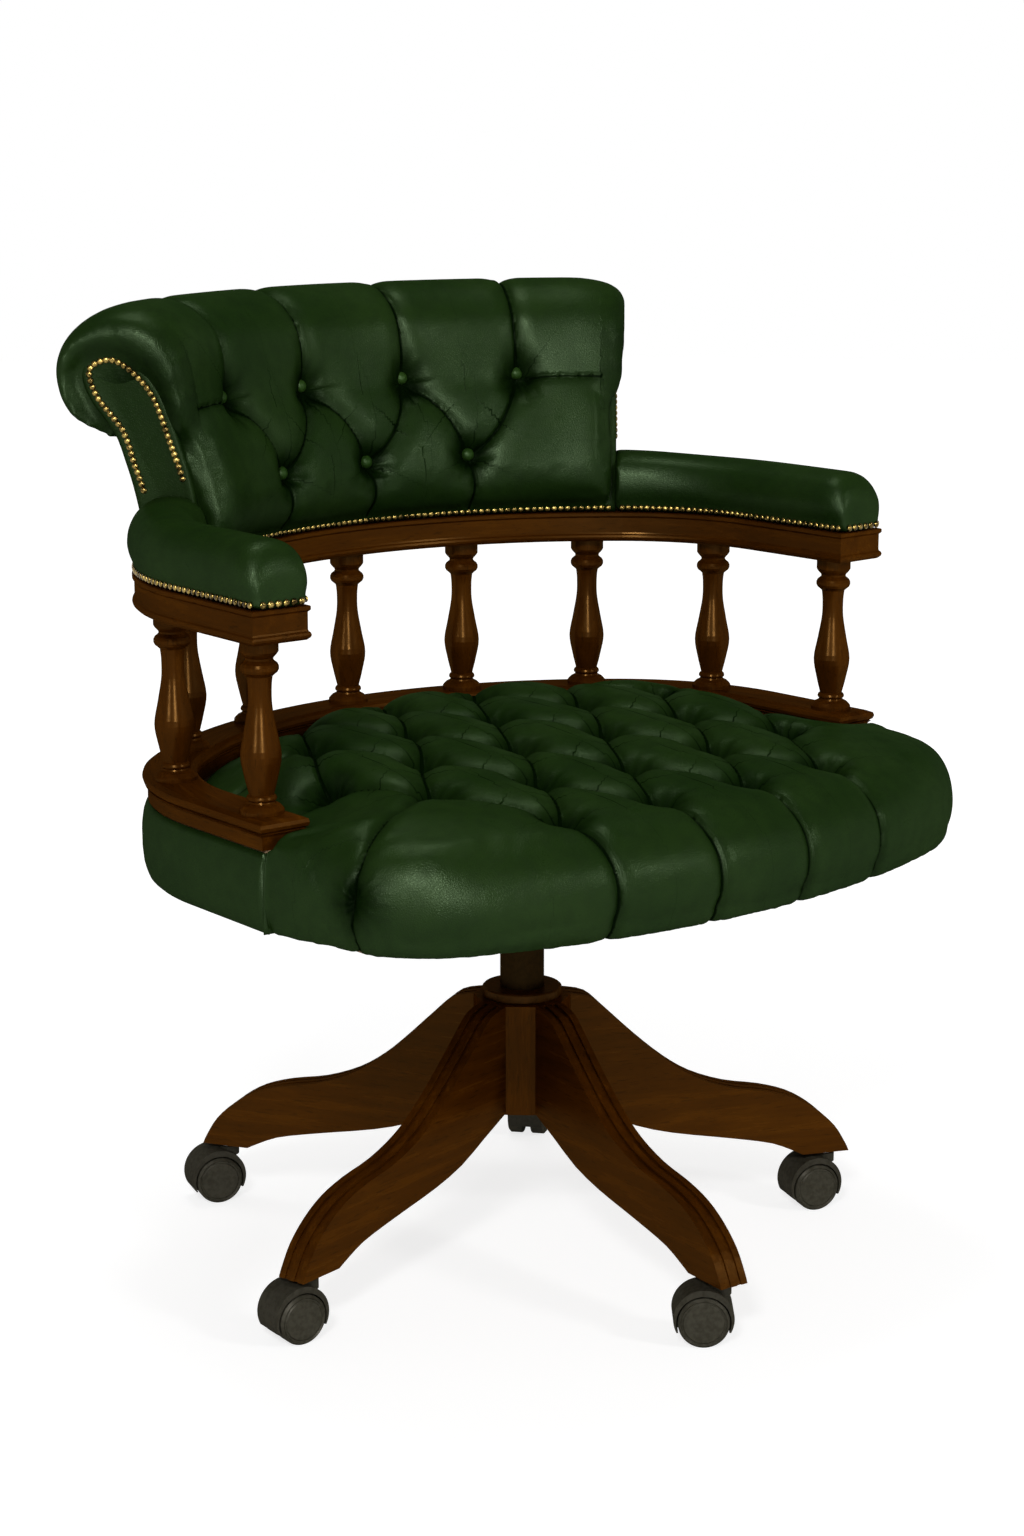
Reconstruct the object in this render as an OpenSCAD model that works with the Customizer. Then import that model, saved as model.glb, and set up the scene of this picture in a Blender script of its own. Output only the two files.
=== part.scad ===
/*
Captain's office chair on a five-legged wooden swivel base.
The origin is on the floor, on the swivel axis. +Z is up and the seat faces -Y.
All sizes are in millimetres. Heights marked "over the floor" hold with the seat at its lowest.
*/

/* [Base] */
// Radius from the swivel axis to the tip of a leg
base_r = 318; // [290:1:350]
// Turn of the base about the swivel axis, 0 with a leg straight ahead
base_turn = -6; // [-36:1:36]
// Thickness of a leg
leg_t = 28; // [24:1:32]
// Width of one of the three reeds on a leg's top edge
reed_w = 6.5; // [5:0.5:7]
// Height of a reed over the grooves beside it
reed_h = 2.5; // [1.5:0.5:4]
// Width of the hub across its flats
hub_w = 84; // [80:1:96]
// Height of the hub's underside over the floor
hub_z = 130; // [124:1:136]
// Height of the hub
hub_h = 102; // [98:1:110]
// Diameter of a dowel between the hub and a leg
dowel_d = 10; // [8:1:12]
// Length of a dowel
dowel_l = 40; // [30:1:44]
// Height of the lower dowel over the hub's underside
dowel_low = 24; // [20:1:30]
// Spacing of a leg's two dowels
dowel_gap = 46; // [36:1:52]
// Diameter of the collar on the hub
collar_d = 72; // [66:1:80]
// Height of the collar
collar_h = 9; // [6:1:12]

/* [Column] */
// Outer diameter of the column's tube
tube_d = 40; // [38:1:44]
// Wall of the tube
tube_wall = 3; // [2.5:0.5:4]
// Height of the tube's top over the floor
tube_top = 296; // [286:1:298]
// Diameter of the lift's stem
stem_d = 28; // [25:1:30]
// Length of the guide bush in the tube
bush_l = 40; // [30:1:50]
// Travel of the gas lift
lift_travel = 100; // [60:5:100]

/* [Castors] */
// Diameter of a wheel
wheel_d = 44; // [40:1:46]
// Width of a wheel
wheel_w = 14; // [12:0.5:15]
// Diameter of the castor's axle
axle_d = 8; // [6:0.5:9]
// Offset of the axle behind the swivel stem
castor_trail = 14; // [10:1:18]
// Outer radius of the hood
hood_r = 26; // [26:0.5:28]
// Height of the hood's centre over the axle
hood_up = 3; // [2:0.5:4]
// Width of the hood along the axle
hood_w = 32; // [26:1:34]
// Height over the floor of the hood's lower edge
hood_edge = 13; // [10:1:16]
// Thickness of the web between the wheels
web_t = 8; // [6:0.5:9]
// Distance from the leg's tip back to the castor's stem
castor_inset = 20; // [18:1:24]
// Diameter of the stem inside the leg
castor_stem_d = 11; // [10:0.5:12]
// Length of the stem inside the leg
castor_stem_l = 22; // [18:1:23]
// Diameter of the stem inside the hood
pivot_d = 8; // [7:0.5:9]
// Length of the stem inside the hood
pivot_l = 9; // [7:1:10]
// Bearing of each castor's axle, in degrees, starting with the leg ahead
castor_bearing = [-40, -20, 40, -18, -5]; // [-180:1:180]

/* [Arm and seat rails] */
// Distance from the swivel axis back to the rails' centre line
rail_back = 258; // [246:1:268]
// Radius of the rails' centre line across the back
back_r = 400; // [390:1:420]
// Half angle of that arc
back_angle = 41; // [39:1:42]
// Radius of the rails' centre line round the corners
corner_r = 186; // [180:1:192]
// Angle at which the arms run forward, 90 when parallel
arm_angle = 88; // [84:1:90]
// Length of the straight part of an arm
arm_l = 122; // [112:1:130]
// Width of the seat rail
seat_rail_w = 48; // [44:1:50]
// Height of the seat rail
seat_rail_h = 24; // [22:1:28]
// Height of the seat rail's top over the floor
seat_rail_z = 464; // [458:1:470]
// Width of the arm rail
arm_rail_w = 57; // [52:1:60]
// Height of the arm rail
arm_rail_h = 28; // [24:1:32]
// Height of the arm rail's underside over the floor
arm_rail_z = 608; // [600:1:616]

/* [Spindles] */
// Pitch of the seven spindles across the back, along the rails
spindle_pitch = 126; // [118:1:130]
// Distance from the front of an arm back to its front spindle
spindle_front = 34; // [30:1:44]
// Diameter of the belly
belly_d = 33.7; // [28:0.1:36]
// Diameter of the foot
foot_d = 37; // [32:0.5:40]
// Diameter of the tenon at each end
tenon_d = 15; // [12:1:18]
// Length of the tenon at each end
tenon_l = 12; // [8:1:16]

/* [Seat] */
// Thickness of the seat board
board_t = 18; // [15:1:20]
// Height of the board's underside over the floor
board_z = 372; // [368:1:376]
// Thickness of the seat frame's wall
frame_t = 30; // [24:1:32]
// Thickness of the leather band round the frame, with its wadding
band_t = 4; // [3:0.5:5]
// Distance from the swivel axis to the cushion's front at the middle
seat_front = 322; // [300:1:330]
// Distance by which the cushion's front corners lie behind its middle
seat_bow = 80; // [56:1:90]
// Distance by which the cushion's front corners reach out past the rails' centre line
seat_overhang = 18.6; // [15:0.2:24]
// Height of the cushion's crown over the floor
seat_crown = 480; // [474:1:486]
// Further rise of the crown towards the rear
rear_rise = 7; // [0:1:10]
// Spacing of the tufts from side to side
tuft_x = 101; // [94:1:108]
// Spacing of the rows of tufts from front to back
tuft_y = 91; // [84:1:98]
// Distance from the swivel axis forward to the first row of tufts
tuft_first = 235; // [225:1:245]
// Depth of a tuft
tuft_depth = 26; // [18:1:30]
// Depth of a fold between two tufts
fold_depth = 11; // [6:1:14]

/* [Back and arm pads] */
// Distance by which each end of the back stops short of the rails' corner
back_inset = 12; // [8:1:16]
// Height of the back pad's scroll over the floor
back_top = 859; // [844:1:874]
// Outer radius of the scroll
scroll_r = 56; // [50:1:58]
// Distance from the rails' centre line out to the scroll's centre
scroll_out = 43; // [38:1:48]
// Half thickness of the board inside the back
core_half = 9; // [7:0.5:11]
// Height of the upper row of buttons over the floor
button_up_z = 769; // [762:1:776]
// Height of the lower row of buttons over the floor
button_low_z = 696; // [690:1:702]
// Spacing of the buttons along a row
button_pitch = 120; // [116:1:124]
// Diameter of a button
button_d = 13; // [10:0.5:15]
// Depth of a tuft in the back pad
back_tuft = 26; // [18:1:28]
// Depth of a fold in the back pad
back_fold = 8; // [5:0.5:10]
// Thickness of the panel at each end of the back
facing_t = 7; // [5:0.5:9]
// Height of an arm pad over its rail
arm_pad_h = 54; // [46:1:58]
// Extra height of an arm pad where it meets the back
arm_pad_rise = 4; // [0:1:10]
// Diameter of a brass nail's head
nail_d = 7; // [5:0.5:8]
// Spacing of the nails
nail_pitch = 9.5; // [8.5:0.5:12]

/* [Tilt mechanism] */
// Distance from the swivel axis forward to the tilt pin
pin_y = 70; // [64:1:76]
// Height of the tilt pin over the floor
pin_z = 332; // [329:1:335]
// Diameter of the tilt pin
pin_d = 10; // [8:1:12]
// Thickness of the mechanism's steel
steel_t = 4; // [3:0.5:5]
// Half width of the bracket
bracket_half = 35; // [33:1:38]
// Outer diameter of the bracket's socket
socket_d = 44; // [40:1:48]
// Half width of the plate under the seat
plate_half_w = 84; // [76:1:92]
// Half length of the plate under the seat
plate_half_l = 95; // [90:1:100]
// Diameter of the height lever
lever_d = 7; // [6:0.5:8]
// Reach of the height lever from the swivel axis
lever_reach = 252; // [220:1:270]
// Diameter of the tension knob
knob_d = 30; // [24:1:32]
// Length of the tension knob
knob_l = 24; // [18:1:30]

/* [Clearances] */
// Radial clearance of a running fit
run_gap = 0.05; // [0.02:0.01:0.1]
// Radial clearance of a fixed fit
fixed_gap = 0.03; // [0.01:0.01:0.06]
// Gap between padding and its neighbours
pad_gap = 0.4; // [0.3:0.1:1]
// Running gap between flat faces that turn past each other
face_gap = 0.4; // [0.3:0.1:0.8]

/* [Hidden] */
LEGS = 5;

LEATHER = [0.06, 0.13, 0.06];
WOOD = [0.20, 0.10, 0.04];
WOOD_INNER = [0.62, 0.48, 0.32];
STEEL = [0.55, 0.56, 0.58];
DARK_STEEL = [0.14, 0.11, 0.08];
PLASTIC = [0.22, 0.22, 0.20];
BRASS = [0.66, 0.52, 0.24];

$fn = 48;

// Smooth curve through hand-placed points, with n steps between each pair
function curve_point(p, i, t) =
    let (last = len(p) - 1,
         a = p[max(i - 1, 0)], b = p[i], c = p[min(i + 1, last)], d = p[min(i + 2, last)])
    0.5 * (2 * b + (c - a) * t + (2 * a - 5 * b + 4 * c - d) * t * t + (3 * b - a - 3 * c + d) * t * t * t);
function curve(p, n) =
    [for (i = [0:len(p) - 2], k = [0:n - 1]) curve_point(p, i, k / n), p[len(p) - 1]];
function smooth(t) = let (k = min(max(t, 0), 1)) k * k * (3 - 2 * k);
function reversed(p) = [for (i = [len(p) - 1:-1:0]) p[i]];
function bell(d, w) = exp(-(d / w) * (d / w));

// Points about d apart along a line through the points p, both ends kept
function distances(p) = [for (i = 0, s = 0; i < len(p); i = i + 1, s = s + (i < len(p) ? norm(p[i] - p[i - 1]) : 0)) s];
function point_along(p, s, d) =
    let (i = max([for (k = [0:len(p) - 2]) if (s[k] <= d) k]))
    p[i] + (p[i + 1] - p[i]) * (d - s[i]) / (s[i + 1] - s[i]);
function spaced(p, d) =
    let (s = distances(p), all = s[len(s) - 1], n = round(all / d)) [for (i = [0:n]) point_along(p, s, all * i / n)];

// The rails' centre line: an arc across the back, a tighter arc round each corner and a straight arm.
// s is the length along it from the middle of the back, negative on the sitter's right.
// o is the offset outwards from it.
back_l = back_r * back_angle * PI / 180;
back_stop = back_l - back_inset;
corner_l = corner_r * (arm_angle - back_angle) * PI / 180;
rail_l = back_l + corner_l + arm_l;
back_cy = rail_back - back_r;
corner_c = [(back_r - corner_r) * sin(back_angle), back_cy + (back_r - corner_r) * cos(back_angle)];
function heading(s) =
    s < back_l ? s / back_r * 180 / PI
    : s < back_l + corner_l ? back_angle + (s - back_l) / corner_r * 180 / PI
    : arm_angle;
function outward(t) = [sin(t), cos(t)];
function forward(t) = [cos(t), -sin(t)];
function half_point(s, o) =
    let (t = heading(s))
    s < back_l ? [0, back_cy] + (back_r + o) * outward(t)
    : s < back_l + corner_l ? corner_c + (corner_r + o) * outward(t)
    : corner_c + (corner_r + o) * outward(t) + (s - back_l - corner_l) * forward(t);
function rail_point(s, o = 0) = let (p = half_point(abs(s), o)) [s < 0 ? -p.x : p.x, p.y];
function rail_turn(s) = s < 0 ? 90 + heading(-s) : 90 - heading(s);

// Sweeps a section, drawn with x outwards and y up, along the rails' centre line
module along_rails(front = 0) {
    translate([0, back_cy, 0]) rotate([0, 0, 90 - back_angle])
        rotate_extrude(angle = 2 * back_angle, $fn = 180) translate([back_r, 0]) children();
    for (side = [0, 1]) mirror([side, 0, 0]) translate([corner_c.x, corner_c.y, 0]) {
        rotate([0, 0, 90 - arm_angle])
            rotate_extrude(angle = arm_angle - back_angle, $fn = 120) translate([corner_r, 0]) children();
        rotate([0, 0, 90 - arm_angle]) rotate([90, 0, 0])
            linear_extrude(arm_l + front) translate([corner_r, 0]) children();
    }
}

// Extrudes a section, drawn with x forwards from an arm's end and y up, across both arms
module across_arms(width) {
    for (side = [0, 1]) mirror([side, 0, 0]) translate([corner_c.x, corner_c.y, 0])
        rotate([0, 0, 90 - arm_angle]) translate([corner_r, -arm_l, 0])
            rotate([90, 0, -90]) linear_extrude(width, center = true) children();
}

// Closed solid swept through a row of stations. Each station has an outer strip of points and an inner strip
// that starts and ends beside it.
module loft(outer, inner) {
    count = len(outer);
    m = len(outer[0]);
    n = len(inner[0]);
    ring = m + n;
    points = [for (k = [0:count - 1]) each concat(outer[k], reversed(inner[k]))];
    sides = [for (k = [0:count - 2], i = [0:ring - 1])
        let (a = k * ring + i, b = k * ring + (i + 1) % ring)
        each [[a, b + ring, b], [a, a + ring, b + ring]]];
    function across(i) = ring - 1 - round(i * (n - 1) / (m - 1));
    start = [for (i = [0:m - 2]) let (j = across(i), k = across(i + 1))
        each concat([[i, i + 1, j]], k == j ? [] : [[i + 1, k, j]])];
    shift = (count - 1) * ring;
    finish = [for (f = start) [f[0] + shift, f[2] + shift, f[1] + shift]];
    polyhedron(points, concat(sides, start, finish), convexity = 8);
}

// Base
hub_r = hub_w / 2;
hub_top = hub_z + hub_h;
hood_top = wheel_d / 2 + hood_up + hood_r;
boss_top = hood_top + 1;
flange_t = 2.6;
leg_under = boss_top + face_gap + flange_t;
leg_reach = base_r - hub_r;
leg_rise = hub_top - leg_under;
hub_lift = hub_z - leg_under;

// Outline of a leg: x as a share of its reach from the hub, y as a share of its rise or of the hub's lift
LEG_TOP = [[0, 1], [0.075, 0.97], [0.14, 0.88], [0.25, 0.715], [0.355, 0.575], [0.45, 0.48], [0.57, 0.41],
           [0.70, 0.37], [0.80, 0.32], [0.88, 0.245], [0.945, 0.15], [0.985, 0.05], [1, 0]];
LEG_FOOT = [[0.833, 0], [0.79, 0.08], [0.72, 0.19], [0.62, 0.275], [0.50, 0.36], [0.36, 0.46], [0.23, 0.60],
            [0.11, 0.82], [0, 1.02]];
leg_top = curve([for (p = LEG_TOP) [hub_r + p.x * leg_reach, leg_under + p.y * leg_rise]], 3);
leg_foot = curve([for (p = LEG_FOOT) [hub_r + p.x * leg_reach, leg_under + p.y * hub_lift]], 2);
function leg_bearing(k) = base_turn + (k - 1) * 360 / LEGS;
module at_leg(k) { rotate([0, 0, leg_bearing(k) - 90]) children(); }

dowel_z = [hub_z + dowel_low, hub_z + dowel_low + dowel_gap];
castor_r = base_r - castor_inset;

module dowel_row(r, l) {
    for (z = dowel_z) translate([hub_r - l / 2, 0, z]) rotate([0, 90, 0]) cylinder(r = r, h = l, $fn = 32);
}

module base_hub() {
    color(WOOD) difference() {
        rotate([0, 0, base_turn - 90 + 180 / (2 * LEGS)])
            translate([0, 0, hub_z]) cylinder(r = hub_r / cos(18), h = hub_h, $fn = 2 * LEGS);
        translate([0, 0, hub_z - 1]) cylinder(r = tube_d / 2 + fixed_gap, h = hub_h + 2);
        for (k = [1:LEGS]) at_leg(k) dowel_row(dowel_d / 2 + fixed_gap, dowel_l + 1);
    }
}

module base_leg(k) {
    groove_w = (leg_t - 3 * reed_w) / 2;
    above = [for (q = leg_top) [q.x, q.y + 2]];
    below = [for (q = leg_top) [q.x, q.y - reed_h]];
    run_in = hub_r - 2;
    groove = concat([[run_in, hub_top + 2]], above, [[base_r + 2, leg_under]], reversed(below),
                    [[run_in, hub_top - reed_h]]);
    color(WOOD) at_leg(k) difference() {
        rotate([90, 0, 0]) linear_extrude(leg_t, center = true) polygon(concat(leg_top, leg_foot));
        for (side = [-1, 1]) translate([0, side * (reed_w + groove_w) / 2, 0])
            rotate([90, 0, 0]) linear_extrude(groove_w, center = true) polygon(groove);
        dowel_row(dowel_d / 2 + fixed_gap, dowel_l + 1);
        translate([castor_r, 0, leg_under - 1])
            cylinder(r = castor_stem_d / 2 + fixed_gap, h = castor_stem_l + 2);
    }
}

module base_dowels() {
    color(WOOD_INNER) for (k = [1:LEGS]) at_leg(k) dowel_row(dowel_d / 2, dowel_l);
}

module base_collar() {
    r = collar_d / 2;
    hole = tube_d / 2 + fixed_gap;
    rim = 1.2;
    color(DARK_STEEL) translate([0, 0, hub_top]) rotate_extrude($fn = 96)
        polygon([[hole, 0], [r - rim, 0], [r, rim], [r, collar_h - rim], [r - rim, collar_h], [hole, collar_h]]);
}

// Column
tube_r = tube_d / 2;
tube_bore = tube_r - tube_wall;
stem_r = stem_d / 2;
bush_flange = 2;
socket_base = tube_top + bush_flange + 8;
socket_top = socket_base + 34;
stem_foot = tube_top - bush_l - lift_travel - 15;

module column_tube() {
    color(DARK_STEEL) difference() {
        translate([0, 0, hub_z]) cylinder(r = tube_r, h = tube_top - hub_z, $fn = 96);
        translate([0, 0, hub_z + tube_wall]) cylinder(r = tube_bore, h = tube_top - hub_z, $fn = 96);
    }
}

module column_bush() {
    color(PLASTIC) difference() {
        union() {
            translate([0, 0, tube_top - bush_l]) cylinder(r = tube_bore - fixed_gap, h = bush_l + bush_flange);
            translate([0, 0, tube_top]) cylinder(r = tube_r, h = bush_flange);
        }
        translate([0, 0, tube_top - bush_l - 1]) cylinder(r = stem_r + run_gap, h = bush_l + bush_flange + 2);
    }
}

module column_stem() {
    color(STEEL) translate([0, 0, stem_foot]) cylinder(r = stem_r, h = socket_top - stem_foot);
}

// Castors
axle_z = wheel_d / 2;
well_r = wheel_d / 2 + 1.4;
wheel_in = web_t / 2 + face_gap;
wheel_out = wheel_in + wheel_w;
wheel_cap = 3;
boss_r = pivot_d / 2 + 6;
flange_r = castor_stem_d / 2 + 2.5;
pivot_top = boss_top + face_gap;
module at_castor(k) {
    at_leg(k) translate([castor_r, 0, 0])
        rotate([0, 0, castor_bearing[k - 1] - leg_bearing(k) + 90]) children();
}
module at_axle(k) {
    at_castor(k) translate([-castor_trail, 0, axle_z]) rotate([90, 0, 0]) children();
}

module castor_stems() {
    color(STEEL) for (k = [1:LEGS]) at_castor(k) {
        translate([0, 0, leg_under]) cylinder(r = castor_stem_d / 2, h = castor_stem_l);
        translate([0, 0, pivot_top]) cylinder(r = flange_r, h = flange_t);
        translate([0, 0, pivot_top - pivot_l]) cylinder(r = pivot_d / 2, h = pivot_l);
    }
}

module castor_housing(k) {
    color(PLASTIC) difference() {
        union() {
            at_axle(k) translate([0, hood_up, 0]) cylinder(r = hood_r, h = hood_w, center = true, $fn = 96);
            at_castor(k) translate([0, 0, boss_top - pivot_l])
                cylinder(r = boss_r, h = pivot_l);
        }
        for (side = [-1, 1]) at_axle(k) translate([0, 0, side * (web_t + hood_w) / 2])
            cylinder(r = well_r, h = hood_w, center = true, $fn = 96);
        at_castor(k) translate([-castor_trail, 0, 0])
            cube([4 * hood_r, 4 * hood_r, 2 * hood_edge], center = true);
        at_axle(k) cylinder(r = axle_d / 2 + fixed_gap, h = 2 * web_t, center = true);
        at_castor(k) translate([0, 0, pivot_top - pivot_l - face_gap])
            cylinder(r = pivot_d / 2 + run_gap, h = pivot_l + 2);
    }
}

module castor_axle(k) {
    color(STEEL) at_axle(k)
        cylinder(r = axle_d / 2, h = 2 * (wheel_out - wheel_cap - face_gap), center = true, $fn = 32);
}

// One wheel, with side = 1 on the axle's bearing and -1 on the other side
module castor_wheel(k, side) {
    r = wheel_d / 2;
    bore = axle_d / 2 + run_gap;
    edge = 2;
    color(PLASTIC) at_axle(k) mirror([0, 0, side < 0 ? 1 : 0]) translate([0, 0, wheel_in])
        rotate_extrude($fn = 96)
            polygon([[bore, 0], [r - 1, 0], [r, 1], [r, wheel_w - edge], [r - edge, wheel_w],
                     [r - edge - 1, wheel_w - 1], [r - edge - 2, wheel_w - 1], [r - edge - 3, wheel_w],
                     [0, wheel_w], [0, wheel_w - wheel_cap], [bore, wheel_w - wheel_cap]]);
}

// Tilt mechanism
side_t = steel_t + 1;
ear_top = socket_top + 10.5;
lever_z = socket_top + face_gap + lever_d / 2;
bracket_front = pin_y + 16;
bracket_back = socket_d / 2;
knob_z = socket_base + steel_t + 14;
rod_d = 8;

module tilt_bracket() {
    color(DARK_STEEL) difference() {
        union() {
            translate([0, 0, socket_base]) cylinder(r = socket_d / 2, h = socket_top - socket_base);
            translate([-bracket_half, -bracket_front, socket_base])
                cube([2 * bracket_half, bracket_front + bracket_back, steel_t]);
            translate([-bracket_half, -bracket_front, socket_base])
                cube([2 * bracket_half, steel_t, pin_z - socket_base]);
            for (x = [-bracket_half, bracket_half - side_t]) translate([x, -bracket_front, socket_base])
                cube([side_t, bracket_front + bracket_back, socket_top - socket_base]);
            for (x = [-bracket_half, bracket_half - side_t]) translate([x, -lever_d, socket_base])
                cube([side_t, 2 * lever_d, ear_top - socket_base]);
        }
        translate([0, 0, socket_base - 1]) cylinder(r = stem_r + run_gap, h = socket_top - socket_base + 2);
        translate([0, -pin_y, pin_z]) rotate([0, 90, 0])
            cylinder(r = pin_d / 2 + fixed_gap, h = 3 * bracket_half, center = true);
        translate([0, -bracket_front - 1, knob_z]) rotate([-90, 0, 0])
            cylinder(r = rod_d / 2 + run_gap, h = steel_t + 2);
        translate([0, 0, lever_z]) rotate([0, 90, 0])
            cylinder(r = lever_d / 2 + run_gap, h = 3 * bracket_half, center = true);
    }
}

lug_in = bracket_half + 1;
lug_out = lug_in + side_t;
module tilt_pin() {
    color(STEEL) translate([0, -pin_y, pin_z]) rotate([0, 90, 0])
        cylinder(r = pin_d / 2, h = 2 * lug_out + 6, center = true);
}

module height_lever() {
    paddle_w = 50;
    paddle_l = 42;
    paddle_t = 4;
    color(DARK_STEEL) {
        translate([-lever_reach, 0, lever_z]) rotate([0, 90, 0])
            cylinder(r = lever_d / 2, h = lever_reach + bracket_half + 3);
        translate([-lever_reach, -paddle_l, lever_z - lever_d / 2]) cube([paddle_w, paddle_l, paddle_t]);
    }
}

module tension_knob() {
    grip = 5;
    color(PLASTIC) translate([0, -bracket_front, knob_z]) {
        rotate([90, 0, 0]) difference() {
            translate([0, 0, face_gap]) cylinder(r = knob_d / 2, h = knob_l);
            for (a = [0:45:359]) rotate([0, 0, a]) translate([knob_d / 2 + 1.5, 0, -1])
                cylinder(r = grip / 2, h = knob_l + 3, $fn = 16);
        }
        translate([0, steel_t + 4, 0]) rotate([90, 0, 0]) cylinder(r = rod_d / 2, h = steel_t + 6, $fn = 32);
    }
}

// Screws: four through the plate into the board and eight through the board into the frame
screw_r = 2.5;
screw_l = 32;
screw_head_r = 4.5;
screw_head_t = 3;
plate_z = board_z - steel_t;
plate_screws = [for (x = [-1, 1], y = [-1, 1]) [x * (plate_half_w - 12), y * (plate_half_l - 14)]];
frame_screws = [for (s = [-1, 1], k = [0:3]) rail_point(s * (60 + k * (rail_l - 120) / 3), 0)];
plate_head_z = plate_z - screw_head_t;
frame_head_z = board_z;
plate_screw_l = board_t + steel_t - 2;

module screw_at(p, z, r_gap, l) {
    translate([p.x, p.y, z]) {
        cylinder(r = screw_head_r + r_gap, h = screw_head_t + r_gap, $fn = 24);
        cylinder(r = screw_r + r_gap, h = l, $fn = 24);
    }
}
module wood_screws() {
    color(STEEL) {
        for (p = plate_screws) screw_at(p, plate_head_z, 0, plate_screw_l);
        for (p = frame_screws) screw_at(p, frame_head_z, 0, screw_l);
    }
}
module screw_holes() {
    for (p = plate_screws) screw_at(p, plate_head_z, fixed_gap, plate_screw_l + 0.5);
    for (p = frame_screws) {
        screw_at(p, frame_head_z, fixed_gap, screw_l + 0.5);
        translate([p.x, p.y, frame_head_z - 1]) cylinder(r = screw_head_r + fixed_gap, h = 2, $fn = 24);
    }
}

module seat_plate() {
    color(DARK_STEEL) difference() {
        union() {
            translate([-plate_half_w, -plate_half_l, plate_z]) cube([2 * plate_half_w, 2 * plate_half_l, steel_t]);
            for (x = [-lug_out, lug_in]) translate([x, -pin_y - 12, pin_z - 10])
                cube([side_t, 24, plate_z - pin_z + 10 + steel_t / 2]);
        }
        translate([0, -pin_y, pin_z]) rotate([0, 90, 0])
            cylinder(r = pin_d / 2 + run_gap, h = 4 * bracket_half, center = true);
        screw_holes();
    }
}

// Seat: board, frame, leather band and rail
frame_out = frame_t / 2 + 1;
frame_in = frame_out - frame_t;
board_top = board_z + board_t;
frame_top = seat_rail_z - seat_rail_h;
arm_front_y = rail_point(rail_l, -seat_rail_w / 2).y;
seat_half_w = corner_c.x + corner_r + seat_overhang;
board_half_w = seat_half_w - 20;
board_setback = 34;
OUTLINE_STEPS = 24;

// Front edge of the cushion in plan: a bow with rounded corners
corner_round = 46;
function front_y(x) =
    let (share = abs(x) / seat_half_w) -seat_front + seat_bow * pow(share, 2) + corner_round * pow(share, 12);
// Rear edge in plan, inside the rails at offset o
function rear_y(x, o) =
    abs(x) < (back_r + o) * sin(back_angle) ? back_cy + sqrt(pow(back_r + o, 2) - x * x)
    : corner_c.y + sqrt(max(pow(corner_r + o, 2) - pow(abs(x) - corner_c.x, 2), 0));

function board_outline() =
    let (rear = [for (i = [0:OUTLINE_STEPS]) rail_point(rail_l * i / OUTLINE_STEPS, frame_out)],
         nose = [for (i = [8:-1:1]) [board_half_w * i / 8, front_y(board_half_w * i / 8) + board_setback]],
         half = concat(rear, [[board_half_w, arm_front_y]], nose),
         other = [for (i = [len(half) - 1:-1:1]) [-half[i].x, half[i].y]])
    concat(half, [[0, front_y(0) + board_setback]], other);

module seat_board() {
    color(WOOD_INNER) difference() {
        translate([0, 0, board_z]) linear_extrude(board_t) polygon(board_outline());
        screw_holes();
    }
}

module seat_frame() {
    color(WOOD_INNER) difference() {
        along_rails() translate([frame_in, board_top]) square([frame_t, frame_top - board_top]);
        screw_holes();
    }
}

module seat_band() {
    inner = frame_out + fixed_gap;
    outer = inner + band_t;
    tuck = 7;
    top = frame_top - pad_gap;
    color(LEATHER) along_rails(front = -1)
        polygon([[inner, cushion_low], [outer - 2, cushion_low], [outer, board_z + tuck], [outer, top - tuck],
                 [outer - 1, top], [inner, top]]);
}

// Half section of the seat rail, from the bottom centre out and up: fascia, cove and thumbnail nosing
function seat_rail_half(w) =
    let (fascia = w - 4.5, nose_h = seat_rail_h * 0.42, low = seat_rail_h - nose_h - 3)
    [[fascia, 0], [fascia, low], [fascia + 1, low + 1.6], [fascia + 2.6, low + 2.6],
     for (a = [-70:35:35]) [w - nose_h / 2 + nose_h / 2 * cos(a), low + 3 + nose_h / 2 + nose_h / 2 * sin(a)],
     [w - nose_h / 2 - 1, seat_rail_h]];
// Half section of the arm rail: bead, flat fascia and top fillet
function arm_rail_half(w) =
    let (bead = 3.6, fillet = 4)
    [[w - 3, 0],
     for (a = [-60:30:60]) [w - bead + bead * cos(a), bead + 0.6 + bead * sin(a)],
     [w - 2.2, 2 * bead + 1.4], [w - 2.2, arm_rail_h - fillet - 1.2],
     [w - 0.4, arm_rail_h - fillet + 0.6], [w - 0.4, arm_rail_h - 0.6], [w - 1, arm_rail_h]];
function both_sides(p) = concat(p, [for (q = reversed(p)) [-q.x, q.y]]);
spindle_at = concat([spindle_front - rail_l], [for (k = [-3:3]) k * spindle_pitch], [rail_l - spindle_front]);

module tenon_holes(z, h) {
    for (s = spindle_at) translate([rail_point(s).x, rail_point(s).y, z])
        cylinder(r = tenon_d / 2 + fixed_gap, h = h, $fn = 32);
}

// A rail whose moulding turns round the arms' front ends
module moulded_rail(half) {
    w = max([for (q = half) q.x]);
    back = -2 * (arm_l + corner_r);
    intersection() {
        along_rails() polygon(both_sides(half));
        across_arms(2 * (corner_c.x + corner_r))
            polygon(concat([for (q = half) [q.x - w, q.y]], [[back, half[len(half) - 1].y], [back, half[0].y]]));
    }
}

module seat_rail() {
    color(WOOD) difference() {
        translate([0, 0, frame_top]) moulded_rail(seat_rail_half(seat_rail_w / 2));
        tenon_holes(seat_rail_z - tenon_l - 1, tenon_l + 2);
    }
}

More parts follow.
